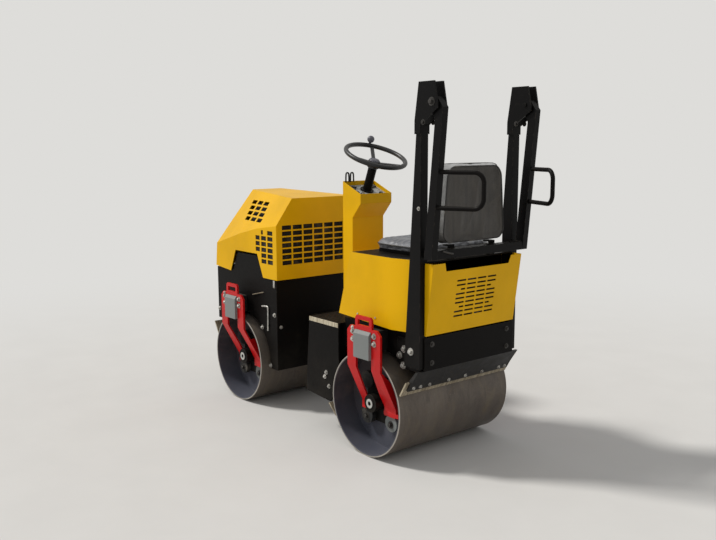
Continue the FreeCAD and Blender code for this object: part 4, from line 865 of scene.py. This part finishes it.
# The hangers' bolts are set round the grey block, which lies off the axle by its lead
for end, axle_x, lead in (("rear", 0.0, -0.013), ("front", WHEELBASE, 0.027)):
    middle = axle_x + lead
    rows = [(middle + x, HANGER_FACE, z, LEFT, 0.016) for x in (-0.082, 0.082) for z in (0.596, 0.635)]
    rows.append((middle + 0.085, HANGER_FACE, 0.654, LEFT, 0.011))
    plugs = [(axle_x + x, BEARING_FACE, DRUM_RADIUS - 0.100, LEFT, 0.020) for x in (-0.094, 0.094)]
    bolts("hanger_bolts_" + end, end + "_unit", both_sides(rows))
    bolts("buffer_bolts_" + end, end + "_unit", both_sides(plugs), DARK_BOLT)

# Each scraper's row of bolts: how far up its blade they sit, as a share, and their y
SCRAPER_BOLTS = {
    "rear_outer": (0.66, (0.322, 0.277, 0.217, 0.087, -0.03, -0.150, -0.277, -0.322)),
    "rear_inner": (0.66, (-0.31, -0.155, 0.0, 0.155, 0.31)),
    "front_inner": (0.60, (-0.27, -0.135, 0.0, 0.135, 0.27)),
    "front_outer": (0.66, (-0.31, -0.155, 0.0, 0.155, 0.31)),
}
BAR_BACK = 0.020
for place, (share, row) in SCRAPER_BOLTS.items():
    tip, along, outward = scraper_frame(*SCRAPERS[place])
    spot = tip + along * BLADE_HEIGHT * share + outward * BAR_BACK
    bolts("scraper_bolts_" + place, place.split("_")[0] + "_unit",
          [(Vector((spot.x, across, spot.z)), outward, 0.010) for across in row])

bolts("front_frame_bolts", "front_unit", both_sides((
    (0.892, FRAME_FACE, 0.573, LEFT, 0.014),
    (1.020, FRAME_FACE, 0.312, LEFT, 0.014),
    (0.945, FRAME_FACE, 0.262, LEFT, 0.014),
    (1.028, FRAME_FACE, 0.480, LEFT, 0.014),
    (1.535, FRAME_FACE, 0.520, LEFT, 0.014),
    (0.868, 0.300, 0.502, -AHEAD, 0.012),
    (1.550, 0.290, 0.540, AHEAD, 0.014),
    (1.550, 0.290, 0.700, AHEAD, 0.014),
)))
bolts("platform_bolts", "rear_unit", both_sides((
    (0.394, 0.335, 0.317, LEFT, 0.013),
    (0.381, 0.335, 0.343, LEFT, 0.013),
    (0.357, 0.335, 0.271, LEFT, 0.013),
    (-0.027, 0.331, 0.708, LEFT, 0.008),
    (0.111, 0.331, 0.708, LEFT, 0.008),
)))
bolts("rear_plate_bolts", "rear_unit", both_sides((
    (-0.358, 0.262, 0.535, -AHEAD, 0.014),
    (-0.358, 0.262, 0.625, -AHEAD, 0.014),
)), DARK_BOLT)

# Hood's corner latches, with their screws
shape = bmesh.new()
for name, side in SIDES:
    block(shape, at(0.889, 0.3295 * side, 0.757), (0.016, 0.005, 0.044))
    block(shape, at(0.889, 0.3315 * side, 0.742), (0.010, 0.006, 0.010))
latches = from_bmesh("hood_latches", shape, "front_unit", ZINC)
soften(latches, 0.001, weld=False)

# Bent rod on the front frame's left side, which holds the articulated joint straight for transport
ROD_FACE = 0.332
ROD_BENDS = ((1.018, 0.609), (0.985, 0.614), (0.957, 0.616), (0.954, 0.600), (0.957, 0.540), (0.959, 0.470))
rod("transport_rod", "front_unit", [at(x, ROD_FACE, z) for x, z in ROD_BENDS], 0.0052, ZINC)
shape = bmesh.new()
for x, z in ((1.010, 0.609), (0.957, 0.500)):
    block(shape, at(x, 0.3295, z), (0.016, 0.006, 0.014))
from_bmesh("transport_rod_clips", shape, "front_unit", BLACK)

# Hinge pin ends of the folding hoop, and the lock pins beside them, which show on both sides of the post
bolts("hoop_hinge_bolts", "rear_unit", both_sides((
    (-0.425, HINGE_FACE, 1.740, LEFT, 0.020),
    (-0.372, HINGE_FACE, 1.652, LEFT, 0.013),
    (-0.372, 0.282, 1.652, -LEFT, 0.013),
)), DARK_BOLT)

# Worn edge of the foot platform's tread plate, left and right
shape = bmesh.new()
for name, side in SIDES:
    block(shape, at(0.4015, 0.3358 * side, 0.6175), (0.257, 0.003, 0.024))
tread_edge = from_bmesh("tread_edges", shape, "rear_unit", WORN_EDGE)
soften(tread_edge, 0.001, weld=False)

# Raised lozenges of the tread plate, left out where the console stands
TREAD_TOP = 0.6302
TREAD_COLUMNS, TREAD_ROWS = 9, 23
CONSOLE_START, CONSOLE_HALF = 0.425, 0.12
shape = bmesh.new()
for column in range(TREAD_COLUMNS):
    for line in range(TREAD_ROWS):
        x, y = 0.287 + column * 0.0262, -0.308 + line * 0.028
        if x > CONSOLE_START and abs(y) < CONSOLE_HALF:
            continue
        turn = Matrix.Rotation(math.radians(45 if (column + line) % 2 else -45), 4, "Z")
        seat = Matrix.Translation(at(x, y, TREAD_TOP)) @ turn @ Matrix.Diagonal((1, 0.32, 1, 1))
        bmesh.ops.create_cone(shape, cap_ends=True, segments=8, radius1=0.0125, radius2=0.0075,
                              depth=0.0028, matrix=seat)
from_bmesh("tread_lozenges", shape, "rear_unit", BLACK)

# Dark sheets behind the hood's vents: painted shade for the inside of the hood
SHADE_SHEET_THICK = 0.001
shape = bmesh.new()
block(shape, at(0.860, 0, 0.984), (0.003, 0.62, 0.262))
for name, side in SIDES:
    block(shape, at(0.948, 0.3295 * side, 0.9625), (0.146, 0.002, 0.215))
    block(shape, at(1.054, 0.3295 * side, 0.990), (0.070, 0.002, 0.120))
    shoulder = [at(1.050, 0.2940 * side, 1.092), at(1.330, 0.2450 * side, 1.092),
                at(1.350, 0.1600 * side, 1.215), at(1.110, 0.1980 * side, 1.215)]
    inward = Vector((-0.10, -0.78 * side, -0.61)).normalized() * 0.018
    quad(shape, [corner + inward for corner in shoulder])
hood_shade_sheet = from_bmesh("hood_vent_shade_sheet", shape, "engine_hood", SHADE_SHEET)
hood_shade_sheet.modifiers.new("Thick", "SOLIDIFY").thickness = SHADE_SHEET_THICK

# Dark sheet behind the rear cover's slots, as far as the cover leans: painted shade for the inside of the
# cover
cover_low, cover_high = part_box("rear_cover")
COVER_LEAN = 0.046


def behind_cover(across, up):
    """A spot just inside the leaning cover."""
    share = (up - cover_low.z) / (cover_high.z - cover_low.z)
    return Vector((cover_low.x + 0.008 + COVER_LEAN * (1 - share), across, up))


shape = bmesh.new()
quad(shape, [behind_cover(y, z) for y, z in ((-0.19, 0.74), (0.19, 0.74), (0.19, 0.955), (-0.19, 0.955))])
cover_shade_sheet = from_bmesh("rear_cover_shade_sheet", shape, "rear_unit", SHADE_SHEET)
cover_shade_sheet.modifiers.new("Thick", "SOLIDIFY").thickness = SHADE_SHEET_THICK

# Dash: switches, key, lamps and the hour counter, set square to the panel
DASH_MIDDLE = at(0.4408, 0, 1.3040)
DASH_AXES = Matrix((WHEEL_FLAT, LEFT, WHEEL_AXIS)).transposed().to_4x4()


def on_dash(ahead, left, high=0.0):
    """A spot on the dash or above it, given from its middle."""
    return DASH_MIDDLE + WHEEL_FLAT * ahead + LEFT * left + WHEEL_AXIS * high


SWITCHES = ((0.042, 0.082), (0.042, 0.058), (0.042, -0.082), (0.010, 0.086), (-0.024, 0.086))
LAMPS = ((0.004, -0.086), (-0.020, -0.086), (0.062, 0.030), (0.062, -0.010))
COUNTER = (0.040, -0.052)
KEY = (-0.046, 0.064)
KNOB_SWITCH = (-0.046, -0.064)
shape = bmesh.new()
for ahead, left in SWITCHES:
    block(shape, on_dash(ahead, left, 0.004), (0.022, 0.015, 0.012), DASH_AXES)
block(shape, on_dash(*COUNTER, 0.003), (0.030, 0.032, 0.008), DASH_AXES)
cone(shape, facing(on_dash(*KEY), WHEEL_AXIS), 0, 0.006, 0.013, 0.012, 24)
cone(shape, facing(on_dash(*KNOB_SWITCH), WHEEL_AXIS), 0, 0.010, 0.011, 0.010, 24)
switches = from_bmesh("dash_switches", shape, "rear_unit", PLASTIC)
soften(switches, 0.001, weld=False)
shape = bmesh.new()
for ahead, left in LAMPS:
    cone(shape, facing(on_dash(ahead, left), WHEEL_AXIS), 0, 0.004, 0.006, 0.004, 16)
block(shape, on_dash(*KEY, 0.012), (0.016, 0.003, 0.012), DASH_AXES)
from_bmesh("dash_lamps_and_key", shape, "rear_unit", ZINC)

# Two guard loops on the console's front lip
LOOP_X = 0.509
LOOP = ((-0.011, 1.352), (-0.011, 1.392), (-0.006, 1.402), (0.006, 1.402), (0.011, 1.392), (0.011, 1.352))
for index, middle in enumerate((0.050, 0.082)):
    rod("console_loop_%d" % index, "rear_unit", [at(LOOP_X, middle + y, z) for y, z in LOOP],
        0.0045, PLASTIC)

# Cap on the steering wheel's hub
shape = bmesh.new()
seat = facing(WHEEL_HUB, WHEEL_AXIS)
cone(shape, seat, 0.012, 0.019, 0.030, 0.026, 40)
cone(shape, seat, 0.019, 0.021, 0.020, 0.018, 40)
cap = from_bmesh("wheel_hub_cap", shape, "steering_wheel", GREY_PLASTIC)
soften(cap, 0.0008, weld=False)

# Lock pin that hangs on the hoop's lower bar
rod("hoop_bar_pin", "folding_hoop",
    [at(-0.4225, 0.262, 1.072), at(-0.4245, 0.235, 1.063), at(-0.4245, 0.198, 1.055)],
    0.0045, DARK_BOLT)


# Hangers: y and z outlines, given for the left side

# A rear hanger's web behind its rear leg, with the foot that carries the buffers
WEB = ((0.398, 0.456), (0.386, 0.456), (0.284, 0.350), (0.266, 0.214), (0.300, 0.214), (0.300, 0.255))
WEB_THICK = 0.006
WEB_FOOT = (0.112, 0.012, 0.020)
# What lies outside a front hanger's rear leg, which leans in from its block to its foot
OUTSIDE = ((0.405, 0.4575), (0.3984, 0.4575), (0.3003, 0.2548), (0.3003, 0.195), (0.405, 0.195))
LEG_WIDTH = 0.0392


def standing(ahead, thick, side):
    """Turns an outline point and a level into a spot of a plate that stands across the machine."""
    return lambda across, up, level: Vector((ahead + thick * level, across * side, up))


for name, side in SIDES:
    shape = pad_shape(WEB, standing(REAR_AXLE - 0.1400, -WEB_THICK, side))
    block(shape, at(-0.110, 0.2947 * side, 0.2240), WEB_FOOT)
    web = from_bmesh("hanger_web_" + name, shape, "rear_unit", RED)
    soften(web, 0.001, weld=False)

# The front hangers' plates: the CAD shape without what lies outside the rear leg
for name, side in SIDES:
    node = "hanger_front_" + name
    shape = pad_shape(OUTSIDE, standing(FRONT_AXLE - 0.150, LEG_WIDTH, side))
    corner = bpy.data.objects.new("corner", bpy.data.meshes.new("corner"))
    shape.to_mesh(corner.data)
    shape.free()
    mesh = nodes[node].data.copy()
    mesh.materials.clear()
    plate = piece_from(node + "_plate", mesh, "front_unit", RED)
    bpy.context.scene.collection.objects.link(corner)
    plate.modifiers.new("Merge", "WELD").merge_threshold = WELD_GAP
    cut = plate.modifiers.new("Cut", "BOOLEAN")
    cut.operation = "DIFFERENCE"
    cut.solver = "EXACT"
    cut.object = corner
    trimmed = bpy.data.meshes.new_from_object(plate.evaluated_get(bpy.context.evaluated_depsgraph_get()))
    plate.modifiers.clear()
    plate.data = trimmed
    bpy.data.objects.remove(corner)
    soften(plate, PLATE_EDGE)
    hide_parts(node)

# Gauge rod on the front frame's left side
rod("frame_gauge_rod", "front_unit", [at(0.999, 0.3335, 0.696), at(1.120, 0.3335, 0.666)],
    0.0030, BLADE)


# Camera at the photograph's place

FRAME_WIDTH_PX = 716
FOCAL_PX = 823.21
CAMERA_PLACE = at(-3.0819, 2.8940, 1.5531)
YAW, PITCH, ROLL = math.radians(-38.767), math.radians(8.639), math.radians(-0.2555)

camera = bpy.data.objects.new("camera", bpy.data.cameras.new("camera"))
bpy.context.scene.collection.objects.link(camera)
camera.data.sensor_width = 36
camera.data.lens = FOCAL_PX / FRAME_WIDTH_PX * camera.data.sensor_width
forward = Vector((math.cos(YAW) * math.cos(PITCH), math.sin(YAW) * math.cos(PITCH), -math.sin(PITCH)))
level_right = Vector((math.sin(YAW), -math.cos(YAW), 0))
level_up = level_right.cross(forward)
right = level_right * math.cos(ROLL) + level_up * math.sin(ROLL)
upward = level_up * math.cos(ROLL) - level_right * math.sin(ROLL)
turned = Matrix((right, upward, -forward)).transposed().to_4x4()
camera.matrix_world = Matrix.Translation(CAMERA_PLACE) @ turned
bpy.context.scene.camera = camera


# Floor, backdrop and light

BACKDROP = srgb(222, 221, 218)
FLOOR_RADIUS = 60
FADE_START, FADE_END = 1.6, 6.0
SKY_COLOUR, SKY_STRENGTH = (0.97, 0.98, 1.0, 1), 0.52
SUN_COLOUR, SUN_STRENGTH = (1.0, 0.985, 0.96), 2.5
SUN_PLACE = Vector((0.50, 0.44, 0.75))
SUN_SPREAD = math.radians(9)

floor_shape = bmesh.new()
bmesh.ops.create_circle(floor_shape, cap_ends=True, segments=96, radius=FLOOR_RADIUS)
floor_mesh = bpy.data.meshes.new("floor")
floor_shape.to_mesh(floor_mesh)
floor_shape.free()
floor = bpy.data.objects.new("floor", floor_mesh)
bpy.context.scene.collection.objects.link(floor)
ground = Graph("pale_floor")
away = ground.math("MULTIPLY", ground.ramp(ground.far((0, 0, 0)), FADE_START, FADE_END),
                   ground.background_rays())
near = ground.mix(ground.noise(3, 5), srgb(204, 202, 198), srgb(212, 210, 206))
ground.set(ground.shader.inputs["Emission Color"], BACKDROP)
ground.set(ground.shader.inputs["Emission Strength"], away)
ground_colour = ground.mix(away, near, (0, 0, 0, 1))
floor.data.materials.append(ground.finish(ground_colour, 0.9, Specular_IOR_Level=0.0))

world = bpy.data.worlds.new("studio")
bpy.context.scene.world = world
world.use_nodes = True
studio = Tree(world.node_tree)
sky = studio.tree.nodes["Background"]
studio.set(sky.inputs["Color"], SKY_COLOUR)
studio.set(sky.inputs["Strength"], SKY_STRENGTH)
backdrop = studio.add("ShaderNodeBackground", Color=BACKDROP, Strength=1.0)
either = studio.add("ShaderNodeMixShader", i0=studio.background_rays(), i1=sky.outputs[0],
                    i2=backdrop.outputs[0])
studio.set(studio.tree.nodes["World Output"].inputs["Surface"], either.outputs[0])

sun = bpy.data.objects.new("sun", bpy.data.lights.new("sun", "SUN"))
bpy.context.scene.collection.objects.link(sun)
sun.data.energy = SUN_STRENGTH
sun.data.angle = SUN_SPREAD
sun.data.color = SUN_COLOUR
sun.rotation_euler = SUN_PLACE.to_track_quat("Z", "Y").to_euler()
bpy.context.scene.view_settings.view_transform = "Standard"
